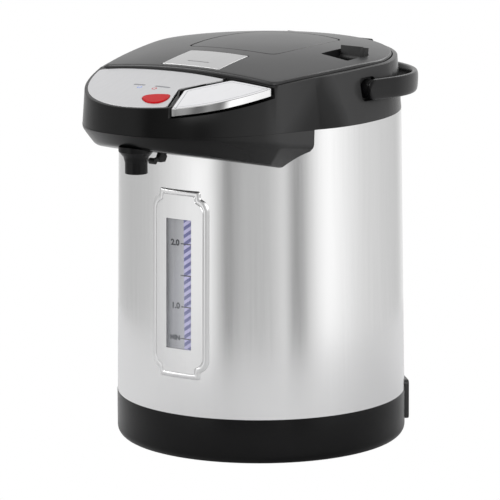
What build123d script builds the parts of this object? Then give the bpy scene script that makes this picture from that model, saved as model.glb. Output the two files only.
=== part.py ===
"""Electric thermo pot: a double-walled water boiler with a pump, a beak-shaped spout housing and a hinged lid.

Millimetres. +Z is up and the spout faces -Y. The origin is on the body's axis, at the plane the feet rest on.
"""
from build123d import *
import os
from math import atan, atan2, cos, degrees, radians, sin, sqrt, tan

# ---- driving dimensions: body -----------------------------------------------------------------------------
FOOT_PROUD = 1.0            # how far the rubber feet stand below the base ring
FOOT_R = 7.0
FOOT_CIRCLE_R = 84.0
BASE_R = 105.0              # outer radius of the base ring
BASE_TOP = 34.0             # seam between base ring and steel sleeve
BASE_WALL = 2.6
BASE_FILLET = 7.0
SPIGOT_RISE = 9.0           # how far the base and collar spigots reach into the sleeve
SPIGOT_WALL = 2.4
FIT = 0.3                   # clearance between pieces that slip into each other
RUN_FIT = 0.06              # radial clearance of a turning pin
SNUG = 0.03                 # clearance of what is pushed on or in and stays there
SLEEVE_R_LOW = 104.7        # outer radius of the steel sleeve at its foot
SLEEVE_R_TOP = 102.0        # outer radius of the steel sleeve at its top
SLEEVE_TOP = 241.5
SLEEVE_T = 0.8

# ---- driving dimensions: collar and nose ------------------------------------------------------------------
RIM_Z = 281.0               # level at which the collar's upper outline is given
COLLAR_R_LOW = 102.0        # collar radius at its lower edge
COLLAR_R_RIM = 99.0         # collar radius at the rim level
COLLAR_WALL = 2.6
NOSE_C_Y = -44.2            # centre of the ellipse that outlines the nose
NOSE_A = 81.8               # its half width, at the rim level
NOSE_B = 126.3              # its reach forward, at the rim level
NOSE_FLARE = 2.9            # how much wider the nose is at the sleeve's top than at the rim level
NOSE_JOIN_Y = -90.0         # where the ellipse turns into the straight flank
FLANK_SLOPE = 0.25          # sideways growth of the flank for each mm towards the rear
FLANK_END_Y = -56.5         # where the flank meets the round body
CHEEK_Y = -4.0              # level of the cheek point, between flank and round rear
CHEEK_X_RIM = 95.2          # half width there at the rim level
REAR_A = 13.0               # azimuth at which the round rear begins, degrees from the X axis
CROWN = 1100.0              # the tops fall by x squared over this, to both sides
PARTING_SLOPE = 0.044       # rise of the nose's parting line for each mm forward
CREASE_Z = 229.0            # lower edge of the nose's upright wall, at the body
CREASE_SLOPE = 0.148
KEEL_Z = 216.3              # nose's flat bottom, at KEEL_Y
KEEL_Y = -80.8
KEEL_SLOPE = 0.236
KEEL_INSET = 10.0           # how far the flat bottom stays inside the wall's outline
KEEL_FLANK_SLOPE = 0.0      # sideways growth of the flat bottom towards the rear
CREASE_INSET = 0.5          # how far the wall draws in from the parting line down to the crease
NOSE_WALL = 2.4
SLEEVE_GAP = 0.4            # between the nose underside and the steel sleeve

# ---- driving dimensions: lid ------------------------------------------------------------------------------
LID_R = 95.0
LID_FRONT_Y = -91.0
LID_FRONT_BOW = 1.5
LID_CORNER_R = 4.0
LID_FLANK_INSET = 3.0       # from the collar's flank to the lid's edge
LID_CHEEK_X = 91.7
LID_GAP = 0.8
LID_WALL = 2.4
LID_SKIRT_Z = 268.0         # lower edge of the lid's skirt
SHELF_Z = 266.5             # top of the ledge under the lid
SHELF_T = 2.5
RIM_DROP = 1.7              # how far the collar's top lies under the lid's
HINGE_Y = 91.5
HINGE_Z = 278.5
HINGE_PIN_R = 1.6
KNUCKLE_R = 3.8
KNUCKLE_HALF = 31.2         # half length of the lid's hinge knuckle
EAR_T = 5.0

# ---- driving dimensions: tank and neck --------------------------------------------------------------------
TANK_R = 83.4               # inner radius
TANK_T = 0.8
TANK_FLOOR = 66.0
TANK_RIM_Z = 232.0
TANK_FLANGE_R = 90.6
SEAL_T = 2.5
NECK_R = 82.0               # inner radius of the neck that the lid's plug enters
NECK_WALL = 2.5

# ---- the top surfaces, as (place along Y, height on the middle line, crown) ------------------------------------------------------
LID_PROFILE = [(-100.0, 281.6, CROWN), (-91.0, 283.0, 1080.0), (-70.0, 286.0, 930.0), (-51.0, 288.3, 860.0),
               (-30.0, 289.4, 900.0), (0.0, 290.0, 1020.0), (30.0, 289.3, CROWN), (60.0, 287.0, CROWN),
               (85.0, 284.1, CROWN), (95.0, 282.7, CROWN), (108.0, 280.6, CROWN)]
NOSE_TOP_Z = 281.0          # height of the nose's top at the lid's front edge
NOSE_TOP_SLOPE = 0.19       # fall of the nose's top for each mm forward
NOSE_END_Y = -180.0
BELOW = 200.0               # any level below the head
ABOVE = 300.0               # any level above the pot

UP = (Align.CENTER, Align.CENTER, Align.MIN)


# ---- helpers ----------------------------------------------------------------------------------------------
def disc(r, z0, z1, x=0.0, y=0.0):
    """Upright cylinder between two levels."""
    return Pos(x, y, z0) * Cylinder(r, z1 - z0, align=UP)


def tube(r_out, r_in, z0, z1, x=0.0, y=0.0):
    """Upright tube between two levels."""
    return disc(r_out, z0, z1, x, y) - disc(r_in, z0, z1, x, y)


def block(x0, x1, y0, y1, z0, z1):
    """Box given by its limits."""
    return Pos((x0 + x1) / 2, (y0 + y1) / 2, (z0 + z1) / 2) * Box(x1 - x0, y1 - y0, z1 - z0)


def turned(points):
    """Solid of revolution about the Z axis, from (radius, height) points."""
    return revolve(make_face(Plane.XZ * Polyline(*points, close=True)), Axis.Z)


def side_prism(points, x0, x1):
    """Prism along X from (y, z) points."""
    return Pos(x0, 0, 0) * extrude(make_face(Plane.YZ * Polyline(*points, close=True)), x1 - x0, dir=(1, 0, 0))


def raised(face, height):
    """Upright block over a level face."""
    return extrude(face, height, dir=(0, 0, 1))


def rod_x(r, x0, x1, y, z):
    """Cylinder along X."""
    return Pos((x0 + x1) / 2, y, z) * Rot(0, 90, 0) * Cylinder(r, x1 - x0)


def pipe(r_out, r_in, points, radii):
    """Bent pipe: straight runs joined by arcs."""
    path = FilletPolyline(*points, radius=radii)
    start = Plane(path @ 0, z_dir=path % 0)
    outer = sweep(start * Circle(r_out), path=path)
    if r_in <= 0:
        return outer
    return outer - sweep(start * Circle(r_in), path=path)


def spring(r_coil, r_wire, z0, z1, turns, x=0.0, y=0.0):
    """Upright coil spring between two levels, its wire inside them."""
    height = z1 - z0 - 2 * r_wire
    path = Helix(height / turns, height, r_coil)
    wire = sweep(Plane(path @ 0, z_dir=path % 0) * Circle(r_wire), path=path)
    return Pos(x, y, z0 + r_wire) * wire


def mirrored(shape):
    """The shape and its mirror image on the other side of the YZ plane."""
    return shape + mirror(shape, about=Plane.YZ)


def at_lean(z):
    """0 at the collar's lower edge, 1 at the rim level, in between and beyond on a straight line."""
    return (z - SLEEVE_TOP) / (RIM_Z - SLEEVE_TOP)


def mix(low, high, t):
    return low + (high - low) * t


def nose_half(z, y, inset=0.0):
    """Half width of the nose's ellipse at a place along Y."""
    a = mix(NOSE_A + NOSE_FLARE, NOSE_A, at_lean(z)) - inset
    b = mix(NOSE_B + NOSE_FLARE, NOSE_B, at_lean(z)) - inset
    return a * sqrt(max(0.0, 1 - ((y - NOSE_C_Y) / b) ** 2))


def side_edges(join, flank_end, cheek, start_slope, rear_r):
    """Right side of an outline: straight flank, cheek, and round rear as far as the middle line."""
    a = radians(REAR_A)
    rear_start = (rear_r * cos(a), rear_r * sin(a))
    flank = Line(join, flank_end)
    side = Spline(flank_end, cheek, rear_start, tangents=[(start_slope, 1), (-sin(a), cos(a))])
    rear = CenterArc((0, 0), rear_r, REAR_A, 90 - REAR_A)
    return [flank, side, rear]


def egg(z, inset=0.0):
    """Outline of the collar with its nose at one level, as a face."""
    t = at_lean(z)
    a = mix(NOSE_A + NOSE_FLARE, NOSE_A, t) - inset
    b = mix(NOSE_B + NOSE_FLARE, NOSE_B, t) - inset
    join_x = nose_half(z, NOSE_JOIN_Y, inset)
    rear_r = mix(COLLAR_R_LOW, COLLAR_R_RIM, t) - inset
    start = degrees(atan2((NOSE_JOIN_Y - NOSE_C_Y) / b, join_x / a))
    flank_x = join_x + FLANK_SLOPE * (FLANK_END_Y - NOSE_JOIN_Y)
    body_x = sqrt((COLLAR_R_LOW - inset) ** 2 - CHEEK_Y ** 2)
    cheek = (mix(body_x, CHEEK_X_RIM - inset, t), CHEEK_Y)
    round_slope = -FLANK_END_Y / sqrt(COLLAR_R_LOW ** 2 - FLANK_END_Y ** 2)
    slope = mix(round_slope, FLANK_SLOPE, min(1.0, max(0.0, t)))
    right = side_edges((join_x, NOSE_JOIN_Y), (flank_x, FLANK_END_Y), cheek, slope, rear_r)
    tip = EllipticalCenterArc((0, NOSE_C_Y), a, b, 180 - start, arc_size=180 + 2 * start)
    left = [mirror(edge, about=Plane.YZ) for edge in right]
    return Pos(0, 0, z) * make_face([tip] + right + left)


def head(z0, z1, inset=0.0):
    """Leaning block with the collar's outline."""
    return loft([egg(z0, inset), egg(z1, inset)], ruled=True)


def lid_face(z, grow=0.0):
    """Outline of the lid at one level; grow widens it all round."""
    inset = LID_FLANK_INSET - grow
    front_y = LID_FRONT_Y - grow
    line_x = nose_half(RIM_Z, NOSE_JOIN_Y) - inset
    corner = (line_x + FLANK_SLOPE * (front_y - NOSE_JOIN_Y), front_y)
    flank_end = (line_x + FLANK_SLOPE * (FLANK_END_Y - NOSE_JOIN_Y), FLANK_END_Y)
    right = side_edges(corner, flank_end, (LID_CHEEK_X + grow, CHEEK_Y), FLANK_SLOPE, LID_R + grow)
    left = [mirror(edge, about=Plane.YZ) for edge in right]
    front = ThreePointArc((-corner[0], front_y), (0, front_y - LID_FRONT_BOW), corner)
    face = make_face([front] + right + left)
    corners = face.vertices().sort_by(Axis.Y)[:2]
    return Pos(0, 0, z) * fillet(corners, max(LID_CORNER_R + grow, 1.0))


def crowned(profile, z_low, drop=0.0, half=125.0):
    """Block under a crowned surface: each section is an arc that falls to both sides, along a height profile."""
    sections = []
    for y, z, crown in profile:
        edge_z = z - drop - half ** 2 / crown
        top = ThreePointArc((-half, edge_z), (0, z - drop), (half, edge_z))
        walls = Polyline((half, edge_z), (half, z_low), (-half, z_low), (-half, edge_z))
        face = make_face([top, walls])
        sections.append(Pos(0, y, 0) * (Plane.XZ * face))
    return loft(sections)


def lid_block(z_low, drop=0.0):
    """Everything under the lid's top surface."""
    return crowned(LID_PROFILE, z_low, drop)


def nose_top(y):
    return NOSE_TOP_Z + NOSE_TOP_SLOPE * (y - LID_FRONT_Y)


def nose_block(z_low, drop=0.0, y_rear=LID_FRONT_Y):
    """Everything under the nose's sloping top surface."""
    profile = [(y, nose_top(y), CROWN) for y in (NOSE_END_Y, (NOSE_END_Y + y_rear) / 2, y_rear)]
    return crowned(profile, z_low, drop)


def parting_z(y):
    """Level of the line where collar and nose underside meet."""
    return SLEEVE_TOP + PARTING_SLOPE * max(0.0, FLANK_END_Y - y)


def crease_z(y):
    return CREASE_Z + CREASE_SLOPE * (FLANK_END_Y - y)


def keel_z(y):
    return KEEL_Z + KEEL_SLOPE * (KEEL_Y - y)


def sloped_nose(z_of, slope, inset, flank=FLANK_SLOPE):
    """The nose's outline on a plane that rises forward, closed inside the body, as a face."""
    level = max(z_of(NOSE_JOIN_Y), SLEEVE_TOP)
    stretch = sqrt(1 + slope ** 2)
    plane = Plane(origin=(0, NOSE_C_Y, z_of(NOSE_C_Y)), x_dir=(1, 0, 0), z_dir=(0, slope, 1))
    a = mix(NOSE_A + NOSE_FLARE, NOSE_A, at_lean(level)) - inset
    b = mix(NOSE_B + NOSE_FLARE, NOSE_B, at_lean(level)) - inset
    join_x = nose_half(level, NOSE_JOIN_Y, inset)
    start = degrees(atan2((NOSE_JOIN_Y - NOSE_C_Y) / b, join_x / a))
    tip = EllipticalCenterArc((0, 0), a, b * stretch, 180 - start, arc_size=180 + 2 * start)
    join_v = (NOSE_JOIN_Y - NOSE_C_Y) * stretch
    back_v = (NOSE_BACK_Y - NOSE_C_Y) * stretch
    back_x = join_x + flank * (NOSE_BACK_Y - NOSE_JOIN_Y)
    sides = Polyline((join_x, join_v), (back_x, back_v), (-back_x, back_v), (-join_x, join_v))
    return plane * make_face([tip, sides])


NOSE_BACK_Y = -45.0         # the nose underside is closed here, inside the body, before it is cut to the sleeve


def nose_tub(inset):
    """Block of the nose underside: an upright wall, then a bevel down to the flat, rising bottom."""
    crease = sloped_nose(crease_z, CREASE_SLOPE, inset + CREASE_INSET)
    wall = loft([sloped_nose(parting_line, PARTING_SLOPE, inset), crease], ruled=True)
    bevel = loft([crease, sloped_nose(keel_z, KEEL_SLOPE, inset + KEEL_INSET, KEEL_FLANK_SLOPE)], ruled=True)
    return wall + bevel


def parting_line(y):
    """The parting plane carried on behind the flank's end."""
    return SLEEVE_TOP + PARTING_SLOPE * (FLANK_END_Y - y)


# ---- base -------------------------------------------------------------------------------------------------
BASE_BOTTOM = FOOT_PROUD
PLATE_T = 2.5
PLATE_R = 94.0
LEDGE_T = 2.5


def make_base_ring():
    """Black ring that stands on the feet, with a spigot for the sleeve and a ledge for the base plate."""
    ring = tube(BASE_R, BASE_R - BASE_WALL, BASE_BOTTOM, BASE_TOP)
    lower = disc(BASE_R, BASE_BOTTOM, BASE_TOP)
    edge = lower.edges().filter_by(GeomType.CIRCLE).sort_by(Axis.Z)[0]
    lower = fillet(edge, BASE_FILLET)
    floor_ring = tube(BASE_R, PLATE_R - 6, BASE_BOTTOM, BASE_BOTTOM + PLATE_T + LEDGE_T)
    floor_ring -= disc(PLATE_R + FIT, BASE_BOTTOM, BASE_BOTTOM + PLATE_T)
    corner = tube(BASE_R, BASE_R - BASE_FILLET, BASE_BOTTOM, BASE_BOTTOM + BASE_FILLET)
    spigot_r = SLEEVE_R_LOW - SLEEVE_T - FIT
    spigot = tube(spigot_r, spigot_r - SPIGOT_WALL, BASE_TOP - 4, BASE_TOP + SPIGOT_RISE)
    ring = (ring + floor_ring + corner) & lower
    ring += spigot
    return ring - inlet_cut() - make_base_screws()


def make_bottom_plate():
    plate = disc(PLATE_R, BASE_BOTTOM, BASE_BOTTOM + PLATE_T)
    for i in range(FOOT_COUNT):
        x, y = foot_place(i)
        plate -= disc(SCREW_R + 0.2, BASE_BOTTOM, BASE_BOTTOM + PLATE_T, x * SCREW_RING, y * SCREW_RING)
    slot = block(-18, 18, -1.5, 1.5, BASE_BOTTOM, BASE_BOTTOM + PLATE_T)
    for i in (-2, -1, 1, 2):
        plate -= Pos(0, VENT_PITCH * i, 0) * slot
    return plate


FOOT_COUNT = 4
VENT_PITCH = FOOT_R + 2.0
SCREW_R = 1.6
SCREW_HEAD_R = 3.0
SCREW_HEAD_T = 1.6
SCREW_RING = (PLATE_R - 3.0) / FOOT_CIRCLE_R    # the screws stand on a wider circle than the feet


def foot_place(i):
    a = radians(45 + 360 / FOOT_COUNT * i)
    return FOOT_CIRCLE_R * cos(a), FOOT_CIRCLE_R * sin(a)


def make_rubber_feet():
    """Four pads pressed on the base plate from below, and one in its middle that bears the full tank."""
    feet = disc(FOOT_R, 0, BASE_BOTTOM)
    for i in range(FOOT_COUNT):
        x, y = foot_place(i)
        feet += disc(FOOT_R, 0, BASE_BOTTOM, x * FOOT_IN, y * FOOT_IN)
    return feet


FOOT_IN = 0.93


def make_base_screws():
    """Screws that hold the base plate to the ring's ledge."""
    screws = Part()
    for i in range(FOOT_COUNT):
        x, y = foot_place(i)
        x, y = x * SCREW_RING, y * SCREW_RING
        shank = disc(SCREW_R, BASE_BOTTOM, BASE_BOTTOM + PLATE_T + LEDGE_T + 3, x, y)
        head = disc(SCREW_HEAD_R, BASE_BOTTOM - 0.8, BASE_BOTTOM, x, y)
        screws += shank + head
    return screws


# ---- power inlet ------------------------------------------------------------------------------------------
INLET_A = 134.0             # azimuth of the inlet, degrees from the front towards +X
INLET_W = 34.0
INLET_Z0 = 9.0
INLET_Z1 = 38.0
INLET_PROUD = 2.0
INLET_DEPTH = 16.0
INLET_FRAME = 3.0
PIN_PITCH = 10.0
PIN_R = 1.8


def at_inlet(shape):
    """Places a shape modelled with +X outward at the inlet's azimuth."""
    return Rot(0, 0, INLET_A - 90) * shape


def inlet_cut():
    """Room for the inlet through the base ring."""
    half = INLET_W / 2 - INLET_FRAME + 1.2
    return at_inlet(block(BASE_R - 12, BASE_R + 5, -half - FIT, half + FIT, INLET_Z0 + INLET_FRAME - 1.2 - FIT,
                          INLET_Z1 - INLET_FRAME + 1.2 + FIT))


def make_inlet_bezel():
    """Frame and cup of the power inlet: the frame lies on the ring, the cup reaches in."""
    half = INLET_W / 2
    frame = block(BASE_R - 4, BASE_R + INLET_PROUD, -half, half, INLET_Z0, INLET_Z1)
    frame = fillet(frame.edges().filter_by(Axis.X), 3.0)
    frame -= disc(BASE_R + 0.02, 0, INLET_Z1 + 1)
    cup_half = half - INLET_FRAME + 1.2
    cup = block(BASE_R - INLET_DEPTH, BASE_R + 0.5, -cup_half, cup_half, INLET_Z0 + INLET_FRAME - 1.2,
                INLET_Z1 - INLET_FRAME + 1.2)
    hollow_half = half - INLET_FRAME
    hollow = block(BASE_R - INLET_DEPTH + 2, BASE_R + 5, -hollow_half, hollow_half, INLET_Z0 + INLET_FRAME,
                   INLET_Z1 - INLET_FRAME)
    return at_inlet(frame + cup - hollow)


def make_inlet_pins():
    """Three round contacts in the inlet's cup."""
    pins = Part()
    mid = (INLET_Z0 + INLET_Z1) / 2
    for y, z in ((-PIN_PITCH / 2, mid - 2), (PIN_PITCH / 2, mid - 2), (0, mid + 5)):
        pins += Pos(0, y, z) * Rot(0, 90, 0) * Cylinder(PIN_R, 12, align=UP)
    return at_inlet(Pos(BASE_R - INLET_DEPTH + 2, 0, 0) * pins)


# ---- sleeve and gauge -------------------------------------------------------------------------------------
GAUGE_Z0 = 61.0
GAUGE_Z1 = 197.0
GAUGE_HALF = 24.0
GAUGE_NOTCH = 4.5           # size of the stepped corners
GAUGE_PROUD = 1.6
WINDOW_Z0 = 82.0
WINDOW_Z1 = 176.0
WINDOW_HALF = 10.8
WINDOW_T = 1.6
STRIP_T = 1.0
TUBE_X = 6.6                # the sight tube stands beside the scale
TUBE_R = 3.6
TUBE_BORE = 2.5
TUBE_Y = -95.5


def sleeve_r(z):
    return mix(SLEEVE_R_LOW, SLEEVE_R_TOP, (z - BASE_TOP) / (SLEEVE_TOP - BASE_TOP))


def sleeve_cone(grow=0.0, z0=BASE_TOP, z1=SLEEVE_TOP):
    """The sleeve's outer form as a solid cone."""
    cone = Cone(sleeve_r(z0) + grow, sleeve_r(z1) + grow, z1 - z0, align=UP)
    return Pos(0, 0, z0) * cone


def stepped_plate(half, z0, z1, notch, y0, y1):
    """Upright plate whose corners are stepped in twice, between two places along Y."""
    x1, x2 = half - notch, half - 2 * notch / 2
    points = [(-half, z0 + notch), (-x1, z0 + notch), (-x1, z0), (x1, z0), (x1, z0 + notch), (half, z0 + notch),
              (half, z1 - notch), (x1, z1 - notch), (x1, z1), (-x1, z1), (-x1, z1 - notch), (-half, z1 - notch)]
    face = Plane.XZ * make_face(Polyline(*points, close=True))
    return Pos(0, y0, 0) * extrude(face, y1 - y0, dir=(0, 1, 0))


def make_body_shell():
    """Brushed steel sleeve with the opening for the gauge."""
    shell = sleeve_cone() - sleeve_cone(-SLEEVE_T)
    opening = block(-WINDOW_HALF - FIT, WINDOW_HALF + FIT, -BASE_R - 1, -80, WINDOW_Z0 - FIT, WINDOW_Z1 + FIT)
    return shell - opening - inlet_cut()


def gauge_skin(grow_out, grow_in):
    """Layer that follows the sleeve between two offsets from it."""
    return sleeve_cone(grow_out) - sleeve_cone(grow_in)


def make_gauge_bezel():
    """Pressed frame with stepped corners that hugs the sleeve round the window."""
    plate = stepped_plate(GAUGE_HALF, GAUGE_Z0, GAUGE_Z1, GAUGE_NOTCH, -BASE_R - 4, -80)
    frame = plate & gauge_skin(GAUGE_PROUD, 0.0)
    window = block(-WINDOW_HALF, WINDOW_HALF, -BASE_R - 4, -80, WINDOW_Z0, WINDOW_Z1)
    return frame - window


def make_gauge_window():
    """Clear window, flush in the bezel."""
    plate = block(-WINDOW_HALF, WINDOW_HALF, -BASE_R - 4, -80, WINDOW_Z0, WINDOW_Z1)
    return plate & gauge_skin(0.6, -SLEEVE_T - 0.2)


def make_scale_strip():
    """Scale plate behind the window, with a slot for the sight tube."""
    back_y = TUBE_Y - TUBE_R - 0.2
    strip = block(-WINDOW_HALF - 3, WINDOW_HALF + 3, back_y - STRIP_T, back_y, WINDOW_Z0 - 4, WINDOW_Z1 + 4)
    return strip


def make_sight_tube():
    """Clear level tube between the riser hose and the spout pipe."""
    return tube(TUBE_R, TUBE_BORE, SIGHT_Z0, SIGHT_Z1, TUBE_X, TUBE_Y)


SIGHT_Z0 = 60.0
SIGHT_Z1 = 228.0


# ---- tank, heater, pump -----------------------------------------------------------------------------------
PUMP_Y = -58.0
PUMP_R = 20.0
PUMP_Z0 = 26.0
PUMP_Z1 = 42.0
STUB_R = 4.6
STUB_BORE = 3.0
HOSE_WALL = 1.6
HOSE_BEND = 9.0
HEATER_R = 38.0
HEATER_Y = 22.0
HEATER_T = 6.0
IMPELLER_R = 15.0
AXLE_R = 1.5
MOTOR_R = 17.0
BLADE_COUNT = 6


def make_inner_tank():
    """Steel tank with a rolled flange, and an outlet stub over the pump."""
    r_out = TANK_R + TANK_T
    wall = turned([(0, TANK_FLOOR - TANK_T), (r_out, TANK_FLOOR - TANK_T), (r_out, TANK_RIM_Z - TANK_T),
                   (TANK_FLANGE_R, TANK_RIM_Z - TANK_T), (TANK_FLANGE_R, TANK_RIM_Z), (TANK_R, TANK_RIM_Z),
                   (TANK_R, TANK_FLOOR), (0, TANK_FLOOR)])
    wall += disc(STUB_R, STUB_Z0, TANK_FLOOR, TUBE_X, PUMP_Y)
    return wall - disc(STUB_BORE, STUB_Z0, TANK_FLOOR + 1, TUBE_X, PUMP_Y)


STUB_Z0 = TANK_FLOOR - TANK_T - 7.0     # lower end of the tank's outlet stub
INTAKE_Z1 = TANK_FLOOR - TANK_T         # the intake hose reaches up to the tank's floor


def make_tank_seal():
    return tube(TANK_FLANGE_R - 2, NECK_R, TANK_RIM_Z, TANK_RIM_Z + SEAL_T)


def make_heater_plate():
    """Cast heating plate clamped under the tank, with two terminals."""
    top = TANK_FLOOR - TANK_T
    plate = disc(HEATER_R, top - HEATER_T, top, 0, HEATER_Y)
    for x in (-26, 26):
        plate += disc(2.2, top - HEATER_T - 7, top - HEATER_T + 1, x, HEATER_Y)
    return plate


def make_thermostats():
    """Keep-warm and dry-boil thermostats on the heating plate."""
    top = TANK_FLOOR - TANK_T - HEATER_T
    switches = Part()
    for y in (HEATER_Y - 13, HEATER_Y + 13):
        switches += disc(8, top - 5, top, 0, y) + disc(5.5, top - 9, top - 5, 0, y)
    return switches


def make_pump_housing():
    """Pump chamber with its suction stub on top and the delivery stub to the front."""
    shell = disc(PUMP_R, PUMP_Z0, PUMP_Z1, TUBE_X, PUMP_Y)
    shell += disc(STUB_R, PUMP_Z1, PUMP_STUB_Z, TUBE_X, PUMP_Y)
    delivery = Pos(TUBE_X, PUMP_Y - PUMP_R - 7, DELIVERY_Z) * Rot(-90, 0, 0)
    shell += delivery * Cylinder(STUB_R, 12, align=UP)
    shell -= disc(PUMP_R - 2.5, PUMP_Z0 + 2, PUMP_Z1 - 2.5, TUBE_X, PUMP_Y)
    shell -= disc(STUB_BORE, PUMP_Z1 - 3, PUMP_STUB_Z, TUBE_X, PUMP_Y)
    return shell - delivery * Cylinder(STUB_BORE, 14, align=UP)


PUMP_STUB_Z = PUMP_Z1 + 7.0
DELIVERY_Z = (PUMP_Z0 + PUMP_Z1) / 2


def make_pump_impeller():
    """Impeller disc with curved-back blades, free on the axle pin."""
    z0 = PUMP_Z0 + 3.0
    hub = disc(IMPELLER_R, z0, z0 + 2.5, TUBE_X, PUMP_Y) + disc(4, z0, z0 + 8, TUBE_X, PUMP_Y)
    for i in range(BLADE_COUNT):
        blade = Rot(0, 0, 360 / BLADE_COUNT * i) * (Pos(3, 0, 0) * Rot(0, 0, -25) * block(0, 10.5, -0.6, 0.6, 0, 8))
        hub += Pos(TUBE_X, PUMP_Y, z0) * blade
    return hub - disc(AXLE_R + RUN_FIT, z0 - 1, z0 + 9, TUBE_X, PUMP_Y)


def make_impeller_axle():
    return disc(AXLE_R, PUMP_Z0 + 2, PUMP_Z1 - 3.5, TUBE_X, PUMP_Y)


def make_pump_motor():
    """Motor can under the pump; it turns the impeller through the wall by magnets."""
    can = disc(MOTOR_R, BASE_BOTTOM + PLATE_T + 1.5, PUMP_Z0, TUBE_X, PUMP_Y)
    return can + disc(5, BASE_BOTTOM + PLATE_T, BASE_BOTTOM + PLATE_T + 1.5, TUBE_X, PUMP_Y)


def make_intake_hose():
    """Silicone sleeve over the tank's and the pump's stubs."""
    return tube(STUB_R + HOSE_WALL, STUB_R + SNUG, PUMP_Z1 + SNUG, INTAKE_Z1 - SNUG, TUBE_X, PUMP_Y)


def make_riser_hose():
    """Silicone hose from the delivery stub up to the sight tube."""
    start_y = PUMP_Y - PUMP_R - 7
    points = [(TUBE_X, start_y, DELIVERY_Z), (TUBE_X, TUBE_Y, DELIVERY_Z), (TUBE_X, TUBE_Y, SIGHT_Z0)]
    return pipe(TUBE_R + 0.6, TUBE_BORE, points, HOSE_BEND)


def make_power_board():
    """Supply board on the base plate, with its transformer and relay."""
    top = BASE_BOTTOM + PLATE_T
    board = block(-62, -22, 2, 62, top + 4, top + 5.6)
    for x, y in ((-58, 6), (-26, 6), (-58, 58), (-26, 58)):
        board += disc(2.4, top, top + 4, x, y)
    board += block(-58, -36, 34, 56, top + 5.6, top + 22) + block(-54, -38, 10, 26, top + 5.6, top + 18)
    return board


# ---- collar and neck --------------------------------------------------------------------------------------
PANEL_SINK = 0.6            # the control panel lies this deep in the nose's rim
PANEL_T = 1.2
BRIDGE_T = 3.0              # wall between lid well and nose
PADDLE_T = 4.7
PADDLE_GAP = 2.4            # free travel under the paddle
HANDLE_Y = -7.2
HANDLE_Z = 264.5
HANDLE_BOSS_R = 7.0
POCKET_X = 94.5
POCKET_CORNER = 3.0
EDGE_GAP = 0.7
PIPE_ROOM = 16.0            # half width of the notch that lets the spout pipe pass


def handle_pocket():
    """Rounded pocket in the collar's cheek for the handle's boss."""
    r = HANDLE_BOSS_R + 1.2
    pocket = block(POCKET_X, COLLAR_R_LOW + 2, HANDLE_Y - r, HANDLE_Y + r, HANDLE_Z - r, HANDLE_Z + r)
    return fillet(pocket.edges().filter_by(Axis.X), POCKET_CORNER)


def hinge_ear(x0, x1, r=KNUCKLE_R):
    return rod_x(r, x0, x1, HINGE_Y, HINGE_Z)


def above_parting():
    """Everything above the collar's lower edge."""
    y_front, y_rear = NOSE_END_Y - 5, COLLAR_R_LOW + 10
    points = [(y_rear, SLEEVE_TOP), (FLANK_END_Y, SLEEVE_TOP), (y_front, parting_z(y_front)), (y_front, ABOVE),
              (y_rear, ABOVE)]
    return side_prism(points, -130, 130)


def collar_top():
    """Everything under the collar's rim: the lid's surface lowered, and the nose's top in front."""
    lid_part = lid_block(BELOW, RIM_DROP) - block(-130, 130, NOSE_END_Y, LID_FRONT_Y, BELOW - 1, ABOVE)
    nose_part = nose_block(BELOW, 0.0, LID_FRONT_Y + 4)
    nose_part -= block(-130, 130, LID_FRONT_Y, LID_FRONT_Y + 8, BELOW - 1, ABOVE)
    return lid_part + nose_part


def paddle_plan(z0, z1, grow=0.0):
    """Plan of the dispense paddle, as a block: from the lid's front edge out to the nose's outline."""
    points = [(PADDLE_REAR_X - grow, PADDLE_REAR_Y + grow), (NOSE_A + 12, PADDLE_REAR_Y + grow),
              (NOSE_A + 12, NOSE_END_Y), (PADDLE_FRONT_X - grow, NOSE_END_Y),
              (PADDLE_FRONT_X - grow, PADDLE_KNEE_Y - 22), (PADDLE_KNEE_X - grow * 1.2, PADDLE_KNEE_Y + grow * 0.4)]
    return Pos(0, 0, z0) * raised(make_face(Polyline(*points, close=True)), z1 - z0)


PADDLE_REAR_X = 37.0
PADDLE_REAR_Y = -94.8
PADDLE_KNEE_X = 20.5
PADDLE_KNEE_Y = -129.0
PADDLE_FRONT_X = 33.5


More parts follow.
